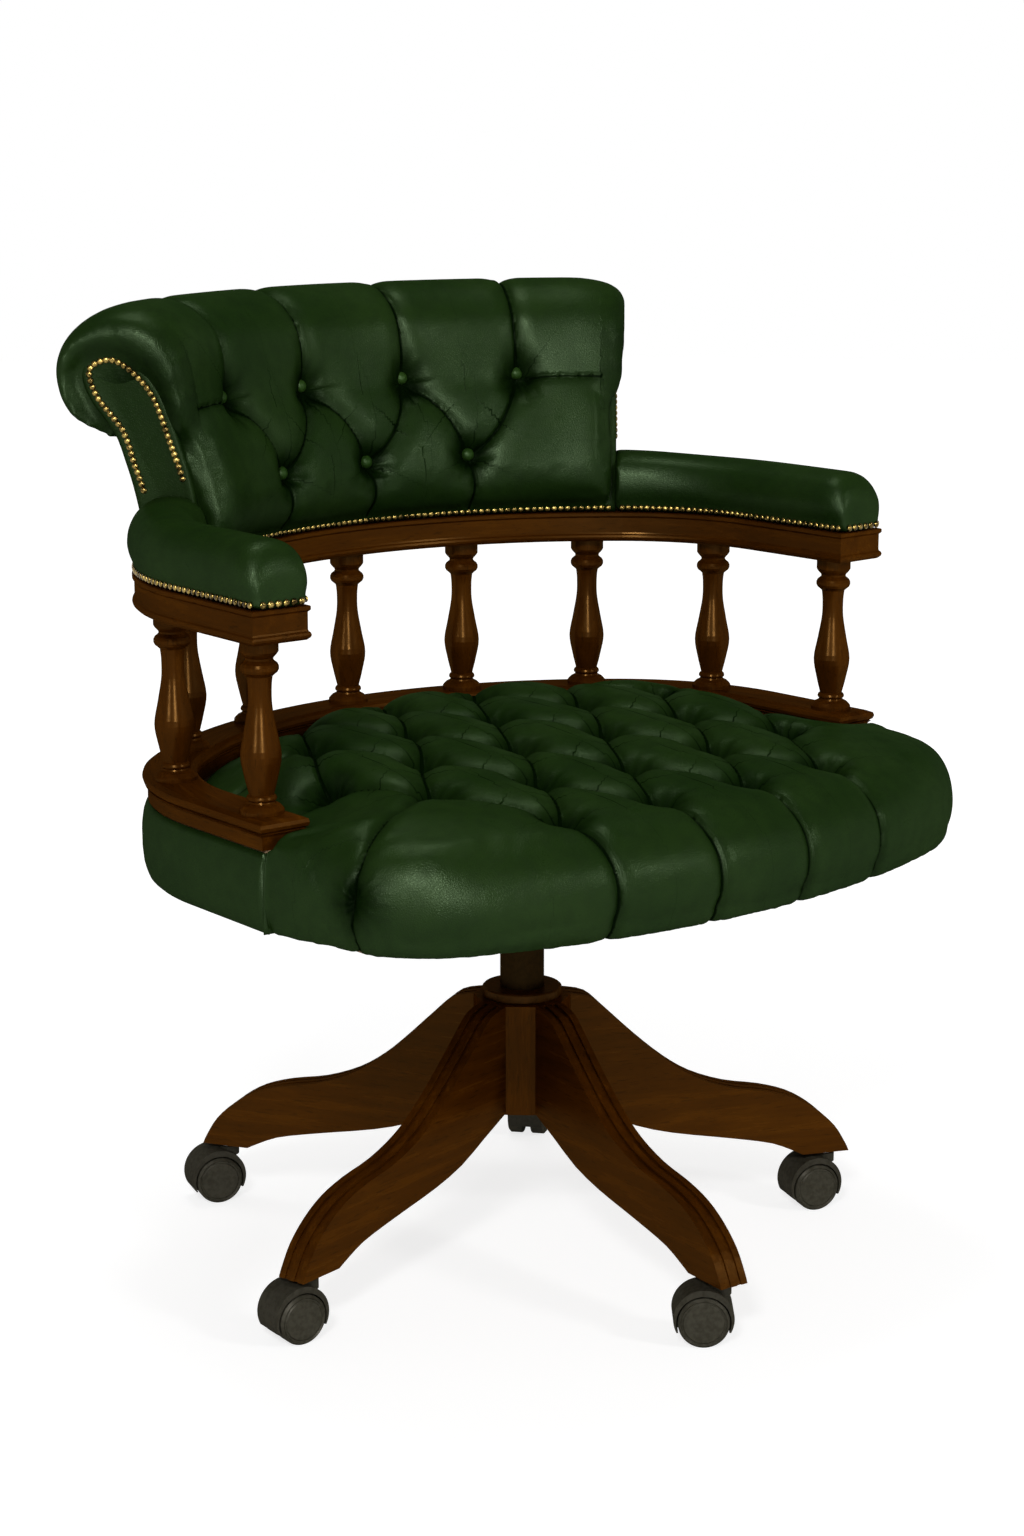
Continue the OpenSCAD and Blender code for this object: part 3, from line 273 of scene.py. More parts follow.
def leather(name, pleated=False, lift=1.0, gloss=0.0125):
    def paint(node, to):
        place = node("TexCoord", out="Object")
        cells = node("TexVoronoi", {"feature": "DISTANCE_TO_EDGE"}, vector=place, scale=520.0)
        pebble = cells.step(0.0, 0.22)
        fine = node("TexNoise", vector=place, scale=900.0, detail=2.0)
        cloud = node("TexNoise", vector=place, scale=11.0, detail=3.0)
        worn = node("TexNoise", vector=place, scale=70.0, detail=4.0)
        height = pebble * 0.55 + fine * 0.35 + worn * 0.5
        shade = cloud.step(0.3, 0.7)
        dark = worn.step(0.35, 0.75) * 0.25
        gloss_share = None
        if pleated:
            fold = node("Attribute", {"attribute_name": "pleat"}, out="Fac")
            away = fold.maths("ABSOLUTE")
            line = 1 - away.step(0.5, 2.0)
            valley = 1 - away.step(1.0, 12.0)
            lip = 1 - (fold - LIP_AT).maths("ABSOLUTE").step(0.3, 1.5)
            tuft = node("Attribute", {"attribute_name": "tuft"}, out="Vector")
            x, y = (node("SeparateXYZ", vector=tuft, out=axis) for axis in "XY")
            reach = (x * x + y * y).maths("SQRT")
            angle = y.maths("ARCTAN2", x)
            waves = (angle * GATHERS + worn * 9).maths("SINE") * 0.5 + 0.5
            ripple = waves * (1 - reach.step(12, 42)) * reach.step(2, 8)
            height = height + ripple * 1.8 - line * 4.0 + lip * 1.6
            hollow = 1 - reach.step(3, 36)
            # Painted shade: the line and valley of each fold, the gathers and the hollow round each tuft
            # darken the hide, on top of the worn patches
            dark = (dark + line * 0.8 + valley * 0.25 + ripple * 0.15 + hollow * 0.6).clamp()
            # Painted shade on the gloss as well: the hollows, fold lines and valleys keep less of it
            gloss_share = 1 - (hollow * 0.9 + line * 0.6 + valley * 0.3).clamp(0, 0.95)
        # Every green is scaled by one brightness: a copy of the hide painted lighter is painted light, and
        # one painted darker is painted shade
        deep, middle, pale = (tuple(c * lift for c in green) for green in GREENS)
        tone = node("Mix", {"data_type": "RGBA"}, out="Result", factor=shade, a=middle, b=pale)
        to("Base Color", node("Mix", {"data_type": "RGBA"}, out="Result", factor=dark, a=tone, b=deep))
        to("Roughness", (worn * 0.20 + 0.27 + pebble * -0.06).clamp(0.2, 0.7))
        to("Normal", node("Bump", strength=0.30, distance=0.0004, height=height))
        to("Specular IOR Level", 0.0)
        return gloss_share
    return finish(name, paint, gloss, GREEN_SHINE)


pleated_leather = leather("pleated_leather", True)
smooth_leather = leather("smooth_leather")
# Two copies of the hide with painted light and shade: the buttons painted lighter, the end panels darker and
# less glossy, as shade from the roll
button_leather_painted_light = leather("button_leather_painted_light", lift=2.2)
panel_leather_painted_shade = leather("panel_leather_painted_shade", lift=0.85, gloss=0.006)
print("leather", len(pleated_leather.node_tree.nodes), "nodes")

# %% [markdown]
# ## Mahogany
# Rails, spindles, hub and legs are stained mahogany under lacquer. Grain runs along each piece, so every
# piece gets its own direction: up the spindles and the hub, along each leg, and round the rails. Noise that
# is stretched along that direction gives the streaks, and a thin glossy layer the lacquer.

# %% Wood
BROWNS = (0.30, (0.030, 0.0082, 0.0005)), (0.50, (0.052, 0.0145, 0.0007)), (0.72, (0.090, 0.0275, 0.0012))
PORES = (0.005, 0.0015, 0.0003)
BROWN_SHINE = (1.0, 0.50, 0.14)


def mahogany(name, along, tone=1.0, gloss=0.012):
    """along(node, place) turns the place on the piece into one that is drawn out along the grain."""
    def paint(node, to):
        place = node("TexCoord", out="Object")
        grain = along(node, place)
        streak = node("TexNoise", vector=grain, scale=95.0, detail=5.0, roughness=0.62, distortion=0.25)
        pore = node("TexNoise", vector=grain, scale=620.0, detail=2.0)
        cloud = node("TexNoise", vector=place, scale=7.0, detail=2.0)
        stain = (streak * 0.62 + cloud * 0.38).clamp()
        stops = [(at, tuple(c * tone for c in brown)) for at, brown in BROWNS]
        colour = node("ValToRGB", {"stops": stops}, out="Color", fac=stain)
        flecks = pore.step(0.60, 0.70) * 0.45
        to("Base Color", node("Mix", {"data_type": "RGBA"}, out="Result", factor=flecks, a=colour, b=PORES))
        to("Roughness", (streak * 0.16 + 0.18).clamp())
        to("Normal", node("Bump", strength=0.25, distance=0.0003, height=streak + pore * 0.4))
        to("Specular IOR Level", 0.0)
    return finish(name, paint, gloss, BROWN_SHINE)


def upright(node, place):
    return node("Mapping", vector=place, scale=(1, 1, 0.1))


def lengthwise(degrees):
    def along(node, place):
        return node("Mapping", vector=node("Mapping", vector=place, rotation=(0, 0, math.radians(-degrees))),
                    scale=(0.1, 1, 1))
    return along


def round_the_rails(node, place):
    x, y, z = (node("SeparateXYZ", vector=place, out=axis) for axis in "XYZ")
    y = y + 0.06
    radius = (x * x + y * y).maths("SQRT")
    turn = x.maths("ARCTAN2", y)
    return node("CombineXYZ", x=radius, y=turn * 0.03, z=z)


spindle_wood = mahogany("spindle_wood", upright)
rail_wood = mahogany("rail_wood", round_the_rails)
hub_wood = mahogany("hub_wood", upright, 1.2)
print("woods", spindle_wood.name, rail_wood.name, hub_wood.name)

# %% [markdown]
# ## Metals, castors and hidden timber
# The column and its collar are steel under brown lacquer, the bracket and the plate are plain dark steel, the
# gas lift's stem, the pins and the screws are bright, and the castors are grey moulded plastic. Each of them
# is one noise or two over a plain shader, at the size that the real finish shows.

# %% Metals and plastics
def worked(name, low, high, metal, rough, size, grain=(1, 1, 1), bump=0.15, gloss=0.01, tint=(1, 1, 1)):
    def paint(node, to):
        place = node("TexCoord", out="Object")
        drawn = node("Mapping", vector=place, scale=grain)
        mottle = node("TexNoise", vector=drawn, scale=size, detail=4.0)
        cloud = node("TexNoise", vector=place, scale=size / 9, detail=2.0)
        share = (mottle * 0.6 + cloud * 0.4).step(0.36, 0.64)
        to("Base Color", node("Mix", {"data_type": "RGBA"}, out="Result", factor=share, a=low, b=high))
        to("Roughness", (share * 0.14 + rough).clamp())
        to("Normal", node("Bump", strength=bump, distance=0.0003, height=mottle))
        to("Metallic", metal)
        to("Specular IOR Level", 0.5 if metal > 0.5 else 0.0)
    return finish(name, paint, 0.0 if metal > 0.5 else gloss, tint)


bronzed = worked("bronzed_steel", (0.008, 0.0042, 0.0012), (0.016, 0.008, 0.002), 0.0, 0.28, 220,
                 gloss=0.007, tint=(1, 0.6, 0.2))
bronzed_brown = worked("bronzed_brown_steel", (0.030, 0.0100, 0.0008), (0.046, 0.0150, 0.0012), 0.0, 0.24,
                       220, gloss=0.014, tint=(1, 0.55, 0.2))
dark_steel = worked("dark_steel", (0.025, 0.024, 0.023), (0.060, 0.057, 0.053), 0.8, 0.36, 300)
bright_steel = worked("bright_steel", (0.36, 0.36, 0.37), (0.52, 0.52, 0.53), 1.0, 0.24, 500, (1, 1, 0.08))
brass = worked("antique_brass", (0.030, 0.018, 0.003), (0.34, 0.24, 0.065), 0.92, 0.20, 420, bump=0.3)
wheel_grey = worked("wheel_plastic", (0.036, 0.033, 0.022), (0.056, 0.052, 0.037), 0.0, 0.34, 240,
                    tint=(1, 0.95, 0.8))
hood_grey = worked("hood_plastic", (0.030, 0.027, 0.018), (0.046, 0.042, 0.030), 0.0, 0.32, 240,
                   tint=(1, 0.95, 0.8))
knob_black = worked("knob_plastic", (0.012, 0.012, 0.012), (0.022, 0.021, 0.020), 0.0, 0.40, 400)
carcass = worked("carcass_beech", (0.28, 0.17, 0.085), (0.44, 0.29, 0.16), 0.0, 0.55, 60, (1, 0.12, 1), 0.3)
print("plain finishes", len(bpy.data.materials))

# %% Dress the frame's own nodes
def dress(material, *names):
    for name in names:
        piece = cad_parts[name]
        if piece.material_slots:
            piece.material_slots[0].material = material
        else:
            piece.data.materials.append(material)


# How far the base stands turned, in degrees. Its first leg points to the front, which is -90
BASE_TURN = -6
for k in range(1, 6):
    bearing = BASE_TURN - 90 + (k - 1) * 72
    dress(mahogany(f"leg_wood_{k}", lengthwise(bearing), gloss=0.016), f"base_leg_{k}")
    dress(hood_grey, f"castor_{k}_housing")
    dress(wheel_grey, f"castor_{k}_wheel_inner", f"castor_{k}_wheel_outer")
    dress(bright_steel, f"castor_{k}_axle")
dress(hub_wood, "base_hub")
dress(bronzed_brown, "base_collar")
dress(rail_wood, "seat_rail", "arm_rail")
dress(spindle_wood, *(f"spindle_{k}" for k in range(1, 10)))
dress(carcass, "base_dowels", "seat_board", "seat_frame", "back_core")
dress(bronzed, "column_tube")
dress(dark_steel, "tilt_bracket", "seat_plate", "height_lever")
dress(bright_steel, "column_stem", "castor_stems", "tilt_pin", "wood_screws")
dress(knob_black, "tension_knob", "column_bush")
bare = [n for n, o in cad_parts.items() if not (o.material_slots and o.material_slots[0].material)]
print("nodes without a finish", bare)

# %% [markdown]
# ## The line that the rails follow
# Everything on the arms and the back is drawn against one line, the middle of the rails: an arc across the
# back, a tighter arc round each corner and a straight arm. A place is then a distance s along the line, a
# distance out from it and a height, all in millimetres, which is how a chair maker would mark them too.

# %% Rail line
BACK_R, CORNER_R, ARM_L, RAIL_BACK = 400, 186, 122, 258
BACK_TURN, ARM_TURN = math.radians(41), math.radians(88)
BACK_L = BACK_R * BACK_TURN
CORNER_L = CORNER_R * (ARM_TURN - BACK_TURN)
RAIL_L = BACK_L + CORNER_L + ARM_L
BACK_Y = RAIL_BACK - BACK_R
CORNER_X = (BACK_R - CORNER_R) * math.sin(BACK_TURN)
CORNER_Y = BACK_Y + (BACK_R - CORNER_R) * math.cos(BACK_TURN)
ARM_TOP, SKIRT, SKIRT_H = 636, 26, 9


def heading(s):
    """How far the line has turned at s, from straight across the back."""
    s = abs(s)
    return s / BACK_R if s < BACK_L else min(BACK_TURN + (s - BACK_L) / CORNER_R, ARM_TURN)


def rail_point(s, out=0.0, z=0.0):
    """The place at s, out from the line and up. A negative s is on the sitter's right."""
    side, s, turn = (-1 if s < 0 else 1), abs(s), heading(s)
    if s < BACK_L:
        x, y = (BACK_R + out) * math.sin(turn), BACK_Y + (BACK_R + out) * math.cos(turn)
    else:
        run = max(s - BACK_L - CORNER_L, 0)
        x = CORNER_X + (CORNER_R + out) * math.sin(turn) + run * math.cos(turn)
        y = CORNER_Y + (CORNER_R + out) * math.cos(turn) - run * math.sin(turn)
    return Vector((side * x, y, z))


def rail_out(s):
    """The level direction out from the line at s."""
    return (rail_point(s, 1) - rail_point(s, 0)).normalized()


def smoothstep(t):
    t = np.clip(t, 0, 1)
    return t * t * (3 - 2 * t)


def smooth_line(points, steps):
    """Points along a soft curve through given ones."""
    p = [points[0], *points, points[-1]]
    line = []
    for a, b, c, d in zip(p, p[1:], p[2:], p[3:]):
        for k in range(steps):
            t = k / steps
            line.append(tuple(0.5 * (2 * q1 + (q2 - q0) * t + (2 * q0 - 5 * q1 + 4 * q2 - q3) * t * t
                                     + (3 * q1 - q0 - 3 * q2 + q3) * t ** 3)
                              for q0, q1, q2, q3 in zip(a, b, c, d)))
    return line + [tuple(points[-1])]


def even_line(points, count):
    """The same line cut into equal steps."""
    p = np.array(points, float)
    gone = np.concatenate([[0], np.cumsum(np.linalg.norm(np.diff(p, axis=0), axis=1))])
    at = np.linspace(0, gone[-1], count)
    return np.stack([np.interp(at, gone, p[:, k]) for k in range(p.shape[1])], axis=1)


print("rail", round(BACK_L, 1), round(CORNER_L, 1), round(RAIL_L, 1))

# %% [markdown]
# ## Tubes, padding and tidy meshes
# A padded piece starts as a grid that is bent into a tube along the rails, which a sheet of hide would do as
# well. A voxel remesh then gives it even faces, so that cloth can swell and pleats can be drawn anywhere on
# it. The pleats come last, as moves of the vertices inwards: a fold is a narrow valley with round shoulders,
# and a tuft is a deeper pit where folds meet. Places are in millimetres until a mesh is finished.

# %% Mesh helpers
CLOTH_FRAMES = 20


def in_metres(name, bm):
    """A mesh from a bmesh that was drawn in millimetres."""
    bmesh.ops.scale(bm, vec=(0.001,) * 3, verts=bm.verts)
    mesh = bpy.data.meshes.new(name)
    bm.to_mesh(mesh)
    bm.free()
    return mesh


def piece_of(name, mesh, material):
    """A piece of the chair above the tilt bracket, all of which rides on the seat."""
    mesh.name = name
    piece = bpy.data.objects.new(name, mesh)
    bpy.context.collection.objects.link(piece)
    mesh.materials.clear()
    mesh.materials.append(material)
    mesh.polygons.foreach_set("use_smooth", [True] * len(mesh.polygons))
    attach(piece, "seat")
    return piece


def piece_from(name, bm, material):
    bmesh.ops.recalc_face_normals(bm, faces=bm.faces)
    return piece_of(name, in_metres(name, bm), material)


def tube(ring_at, around, stations):
    """A closed tube: ring_at(k) gives the k-th ring of evenly spaced points, in millimetres."""
    bm = bmesh.new()
    bmesh.ops.create_grid(bm, x_segments=around, y_segments=stations - 1, size=1)
    rings = [ring_at(k) for k in range(stations)]
    for v in bm.verts:
        i, k = round((v.co.x + 1) / 2 * around), round((v.co.y + 1) / 2 * (stations - 1))
        v.co = rings[k][i % around]
    bmesh.ops.remove_doubles(bm, verts=bm.verts, dist=0.01)
    bmesh.ops.holes_fill(bm, edges=[e for e in bm.edges if e.is_boundary])
    bmesh.ops.recalc_face_normals(bm, faces=bm.faces)
    return bm


def applied(piece):
    """Puts the piece's modifiers into its mesh."""
    bpy.context.view_layer.update()
    done = bpy.data.meshes.new_from_object(piece.evaluated_get(bpy.context.evaluated_depsgraph_get()))
    old = piece.data
    piece.modifiers.clear()
    piece.data = done
    bpy.data.meshes.remove(old)


def places(mesh):
    """Where the vertices are, in millimetres."""
    flat = np.empty(len(mesh.vertices) * 3)
    mesh.vertices.foreach_get("co", flat)
    return flat.reshape(-1, 3) * 1000


def normals(mesh):
    flat = np.empty(len(mesh.vertices) * 3)
    mesh.vertex_normals.foreach_get("vector", flat)
    return flat.reshape(-1, 3)


def put(mesh, where):
    mesh.vertices.foreach_set("co", (where / 1000).ravel())
    mesh.update()


def stuffed(name, bm, voxel, held, swell):
    """A form remeshed, swelled by cloth and subdivided once. held(places) is 1 where it is fixed, and swell
    is how far a place may move."""
    pad = bpy.data.objects.new(name, in_metres(name, bm))
    bpy.context.collection.objects.link(pad)
    remesh = pad.modifiers.new("even faces", "REMESH")
    remesh.mode, remesh.voxel_size = "VOXEL", voxel / 1000
    relax = pad.modifiers.new("relax", "SMOOTH")
    relax.factor, relax.iterations = 0.5, 4
    applied(pad)
    start = places(pad.data)
    pins = pad.vertex_groups.new(name="pins")
    for index, weight in enumerate(held(start)):
        if weight > 0:
            pins.add([index], float(weight), "REPLACE")
    cloth = pad.modifiers.new("cloth", "CLOTH")
    cloth.settings.use_pressure = True
    cloth.settings.uniform_pressure_force = 4
    cloth.settings.vertex_group_mass = "pins"
    cloth.settings.effector_weights.gravity = 0
    for frame_number in range(1, CLOTH_FRAMES + 1):
        scene.frame_set(frame_number)
    applied(pad)
    scene.frame_set(1)
    moved = places(pad.data) - start
    far_moved = np.linalg.norm(moved, axis=1, keepdims=True)
    put(pad.data, start + moved * np.minimum(1, swell / np.maximum(far_moved, 1e-6)))
    print(name, "would swell by", round(float(far_moved.max()), 1), "mm, held to", swell)
    finer = pad.modifiers.new("finer", "SUBSURF")
    finer.levels = finer.render_levels = 1
    applied(pad)
    mesh = pad.data
    bpy.data.objects.remove(pad)
    return mesh


print("helpers ready")

# %% Pleats
# FAR stands for no pleat nearby, and LIP is how high the hide stands beside a fold
FAR, LIP = 60.0, 1.3


def to_line(points, line):
    """For each point, the signed distance to a line and the share of the line that lies before it."""
    line = np.array(line, float)
    best = np.full(len(points), 1e9)
    share = np.zeros(len(points))
    steps = np.linalg.norm(np.diff(line, axis=0), axis=1)
    gone = np.concatenate([[0], np.cumsum(steps)]) / steps.sum()
    for k in range(len(line) - 1):
        a, way = line[k], line[k + 1] - line[k]
        t = np.clip(((points - a) @ way) / (way @ way), 0, 1)
        apart = points - a - t[:, None] * way
        d = np.linalg.norm(apart, axis=1)
        sign = np.where(way[0] * apart[:, 1] - way[1] * apart[:, 0] < 0, -1.0, 1.0)
        nearer = d < np.abs(best)
        best[nearer] = (d * sign)[nearer]
        share[nearer] = (gone[k] + t * (gone[k + 1] - gone[k]))[nearer]
    return best, share


def bowed(a, b, bow):
    """A pleat from a to b that bows sideways by bow."""
    a, b = np.array(a, float), np.array(b, float)
    side = np.array([-(b - a)[1], (b - a)[0]]) / np.linalg.norm(b - a)
    return [tuple(a + (b - a) * t + side * bow * math.sin(math.pi * t)) for t in np.linspace(0, 1, 8)]


def round_fold(t):
    """1 in the fold, 0 a shoulder's width away, round at the shoulder and sharp in the fold."""
    t = 1 - np.clip(t, 0, 1)
    return 1 - np.sqrt(np.maximum(1 - t * t, 0))


def pleat(flat, tufts, lines, fold, pit, pit_width):
    """The depth to carve at each flat point, the distance to the nearest pleat and the way to the nearest
    tuft. A line is (points, depth at its start, depth at its end, width), the depths as shares of fold. The
    hide goes down to pit under each tuft, in a funnel that is pit_width wide."""
    nearest = np.full(len(flat), FAR)
    depth = np.zeros(len(flat))
    ridge = np.zeros(len(flat))
    for line, first, last, width in lines:
        d, share = to_line(flat, line)
        strength = first + (last - first) * share
        fade = 1 - smoothstep((np.abs(d) - 0.8 * width) / (0.4 * width))
        depth = np.maximum(depth, fold * strength * round_fold(np.abs(d) / width) * fade)
        shown = np.abs(d) / np.maximum(np.clip(strength * 2.2, 0.02, 1), 0.02)
        closer = shown < np.abs(nearest)
        nearest[closer] = (np.sign(d) * shown)[closer]
        ridge = np.maximum(ridge, LIP * strength * np.exp(-((d - 4.0) / 2.4) ** 2))
    way = np.full((len(flat), 2), 200.0)
    for place in tufts:
        v = flat - np.array(place)
        closer = np.linalg.norm(v, axis=1) < np.linalg.norm(way, axis=1)
        way[closer] = v[closer]
    r = np.linalg.norm(way, axis=1)
    angle = np.arctan2(way[:, 1], way[:, 0])
    funnel = np.maximum(r - 6, 0) / pit_width
    depth = depth + 0.32 * pit * round_fold(funnel * 0.8) ** 0.8
    gathers = 0.8 * np.sin(angle * 9 + r * 0.05) * np.exp(-((r - 17) / 8) ** 2)
    depth += gathers - ridge * (1 - np.exp(-(r / 14) ** 2))
    pulled = np.exp(-(np.maximum(r - 4, 0) / (0.33 * pit_width)) ** 1.6)
    return depth + (pit - depth) * pulled, nearest, way


def mark(mesh, nearest, way):
    """Gives the mesh what the leather's shader reads."""
    fold = mesh.attributes.new("pleat", "FLOAT", "POINT")
    fold.data.foreach_set("value", nearest.astype(np.float32))
    tuft = mesh.attributes.new("tuft", "FLOAT_VECTOR", "POINT")
    tuft.data.foreach_set("vector", np.column_stack([way, np.zeros(len(way))]).astype(np.float32).ravel())


print("pleats ready")

# %% [markdown]
# ## The back
# The back is a board with thick wadding in front and a roll along its top, all under one hide. Its section is
# swept round the back's arc and drawn in towards the end panels, where the hide is nailed down, so each end
# is as round as a bolster's. Seven buttons pull the front in. Pleats run straight over the roll above the
# upper row, cross between the rows, and fall short and straight under the lower row.

# %% Back
SCROLL_X, SCROLL_Z, SCROLL_R = 43, 167, 56
BUTTON_UP, BUTTON_LOW, BUTTON_PITCH = 133, 60, 120
# Where the board ends, the height of the neck behind the roll and that of the foot on the rail
BACK_STOP, NECK, FOOT = BACK_L - 12, 128, 12
FRONT = [(-38, 14), (-47, 26), (-49, 43), (-46, BUTTON_LOW), (-41, 78), (-34, 98), (-27, 116),
         (-20, BUTTON_UP)]
REAR = [(62, 114), (53, 104), (42, 83), (32, 58), (28, 30)]
ROLL = [(SCROLL_X + SCROLL_R * math.cos(math.radians(a)), SCROLL_Z + SCROLL_R * math.sin(math.radians(a)))
        for a in range(172, -49, -22)]
PANEL = [(-22, 0.5), (-21, 36), (-16, 70), (-5, 106), (8, 141), (26, 167), (50, 180), (71, 176), (80, 161),
         (72, 138), (52, 111), (42, 84), (35, 60), (29, 30), (27, 0.5)]
END_ROUND, END_TURN = 40, math.radians(127)
section = even_line(smooth_line([(-SKIRT, 0.4), (-SKIRT, SKIRT_H)] + FRONT + ROLL + REAR
                                + [(SKIRT, SKIRT_H), (SKIRT, 0.4)], 6), 96)
panel_line = even_line(smooth_line(PANEL, 6), 96)
# How far each point of the end swells past the end of the back's board: most at the roll, least at its neck
past = 1 + 12 * smoothstep((section[:, 1] - 118) / 25)
bulb = smoothstep((section[:, 1] - 105) / 40)
# A station between the ends is (s, 0), and one round an end is (its side, how far the end has turned)
turns = np.linspace(0.12, END_TURN, 15)
back_stations = ([(-1, a) for a in reversed(turns)]
                 + [(s, 0.0) for s in np.linspace(-BACK_STOP + END_ROUND, BACK_STOP - END_ROUND, 84)]
                 + [(1, a) for a in turns])


def back_ring(k):
    s, turn = back_stations[k]
    if turn == 0:
        return [rail_point(s, o, ARM_TOP + z) for o, z in section]
    drawn = 0.95 * ((1 - math.cos(turn)) / (1 - math.cos(END_TURN))) ** 1.25
    beyond = section - np.array([SCROLL_X, SCROLL_Z])
    fuller = np.column_stack([np.maximum(beyond[:, 0], 0) * 0.22, np.minimum(beyond[:, 1], 0) * 0.2 - 1])
    line = section + bulb[:, None] * fuller * math.sin(turn) + (panel_line - section) * drawn
    reach = BACK_STOP - END_ROUND + (END_ROUND + past) * math.sin(turn)
    reach = np.where(section[:, 1] < FOOT, np.minimum(reach, BACK_STOP + 1), reach)
    return [rail_point(s * float(r), o, ARM_TOP + z) for r, (o, z) in zip(reach, line)]


def back_held(where):
    return (where[:, 2] < ARM_TOP + 16).astype(float)


back_mesh = stuffed("back", tube(back_ring, 96, len(back_stations)), 5.5, back_held, 2.5)

# %% Back's pleats
where = places(back_mesh)
s_back = np.arctan2(where[:, 0], where[:, 1] - BACK_Y) * BACK_R
out_back = np.hypot(where[:, 0], where[:, 1] - BACK_Y) - BACK_R
up_back = where[:, 2] - ARM_TOP
# On the roll the height is measured round it, so that a pleat runs on over the top and down behind
round_roll = np.arctan2(up_back - SCROLL_Z, SCROLL_X - out_back)
round_roll = np.where(round_roll < -0.9, round_roll + math.tau, round_roll)
over = (up_back > BUTTON_UP) | (out_back > 30)
high = np.where(over, SCROLL_Z + SCROLL_R * np.clip(round_roll, -0.65, 5), up_back)
# Below the roll the rear is plain, which is a height that no pleat reaches
behind = (out_back > 22) & (up_back < NECK)
high = np.where(behind, 420.0, high)
flat = np.column_stack([s_back, high])
up_buttons = [(k * BUTTON_PITCH, BUTTON_UP) for k in (-1.5, -0.5, 0.5, 1.5)]
low_buttons = [(k * BUTTON_PITCH, BUTTON_LOW) for k in (-1, 0, 1)]
back_pleats = []
for x, y in low_buttons:
    for side in (-1, 1):
        back_pleats.append((bowed((x, y), (x + side * BUTTON_PITCH / 2, BUTTON_UP), -9), 1.0, 1.0, 28))
    back_pleats.append((bowed((x, y), (x + 2, 4), 3), 0.8, 0.5, 16))
for x, y in up_buttons:
    back_pleats.append((bowed((x, y), (x, 330), 4), 1.0, 0.55, 20))
for side in (-1, 1):
    x = side * BUTTON_PITCH * 1.5
    to_end = bowed((x + side * 12, BUTTON_UP - 1), (side * (BACK_STOP + 20), BUTTON_UP - 6), side * 3)
    back_pleats.append((to_end, 0.6, 0.4, 11))
depth, nearest, way = pleat(flat, up_buttons + low_buttons, back_pleats, fold=11, pit=17, pit_width=36)
# Round the roll's ends the hide gathers towards the nails, as it does towards a button, and there it also
# gets the painted shade of a tuft's hollow
at_end = (np.abs(s_back) > BACK_STOP - 12) & (up_back > 100)
way[at_end] = np.column_stack([out_back - 30, up_back - 140])[at_end] * 0.45
calm = smoothstep((BACK_STOP - 2 - np.abs(s_back)) / 26) * smoothstep((up_back - 4) / 12)
calm = calm * np.where(behind, 0.0, 1.0)
put(back_mesh, where - normals(back_mesh) * (depth * calm)[:, None])
mark(back_mesh, np.where(calm > 0.12, nearest, FAR), way)
back_piece = piece_of("back_upholstery", back_mesh, pleated_leather)
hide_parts("back_pad")
print("back", len(back_mesh.polygons), "faces")

# %% [markdown]
# ## The seat
# The seat is a deep cushion with a bow front that bulges over the edge of its board, and a diamond pattern of
# tufts on top. Its outline is drawn once and raised level by level, drawn in at the top and the bottom, as a
# stuffed edge is. The top is domed after the remesh, and the pleats run from tuft to tuft, straight over the
# front edge and out to the two front corners.

# %% Seat
SEAT_FRONT, SEAT_BOW, SEAT_CORNER, SEAT_HALF, SEAT_REAR = 322, 80, 48, 344, 354
SEAT_LOW, SEAT_SIDE, BOARD_TOP = 370.5, 456, 390.6
CROWN_FRONT, CROWN_REAR = 9, 30
RAIL_HALF, GAP = 24, 1.4
SIDE_IN = CORNER_X + CORNER_R - RAIL_HALF - GAP
ARM_FRONT = -97.4
TUFT_X, TUFT_Y, TUFT_FIRST = 101, 91, 235


def front_y(x):
    share = abs(x) / SEAT_HALF
    return -SEAT_FRONT + SEAT_BOW * share ** 2 + SEAT_CORNER * share ** 11


def seat_outline():
    half = [(x, front_y(x)) for x in np.linspace(0, SEAT_HALF, 40)]
    half += [(SEAT_HALF + (SEAT_REAR - SEAT_HALF) * float(smoothstep(1 - (ARM_FRONT - y) / 80)), y)
             for y in np.linspace(front_y(SEAT_HALF), ARM_FRONT, 14)[1:]]
    half += [(x, ARM_FRONT) for x in np.linspace(SEAT_REAR, SIDE_IN, 6)[1:]]
    half += [(SIDE_IN, y) for y in np.linspace(ARM_FRONT, CORNER_Y, 10)[1:]]
    half += [tuple(rail_point(s, -RAIL_HALF - GAP))[:2] for s in np.linspace(BACK_L + CORNER_L, 0, 60)]
    return half + [(-x, y) for x, y in reversed(half[1:-1])]


outline = np.array(seat_outline())
ahead = np.roll(outline, -1, axis=0) - np.roll(outline, 1, axis=0)
inward = np.column_stack([-ahead[:, 1], ahead[:, 0]]) / np.linalg.norm(ahead, axis=1, keepdims=True)
turned_in = np.clip((ARM_FRONT + 4 - outline[:, 1]) / 6, 0, 1)
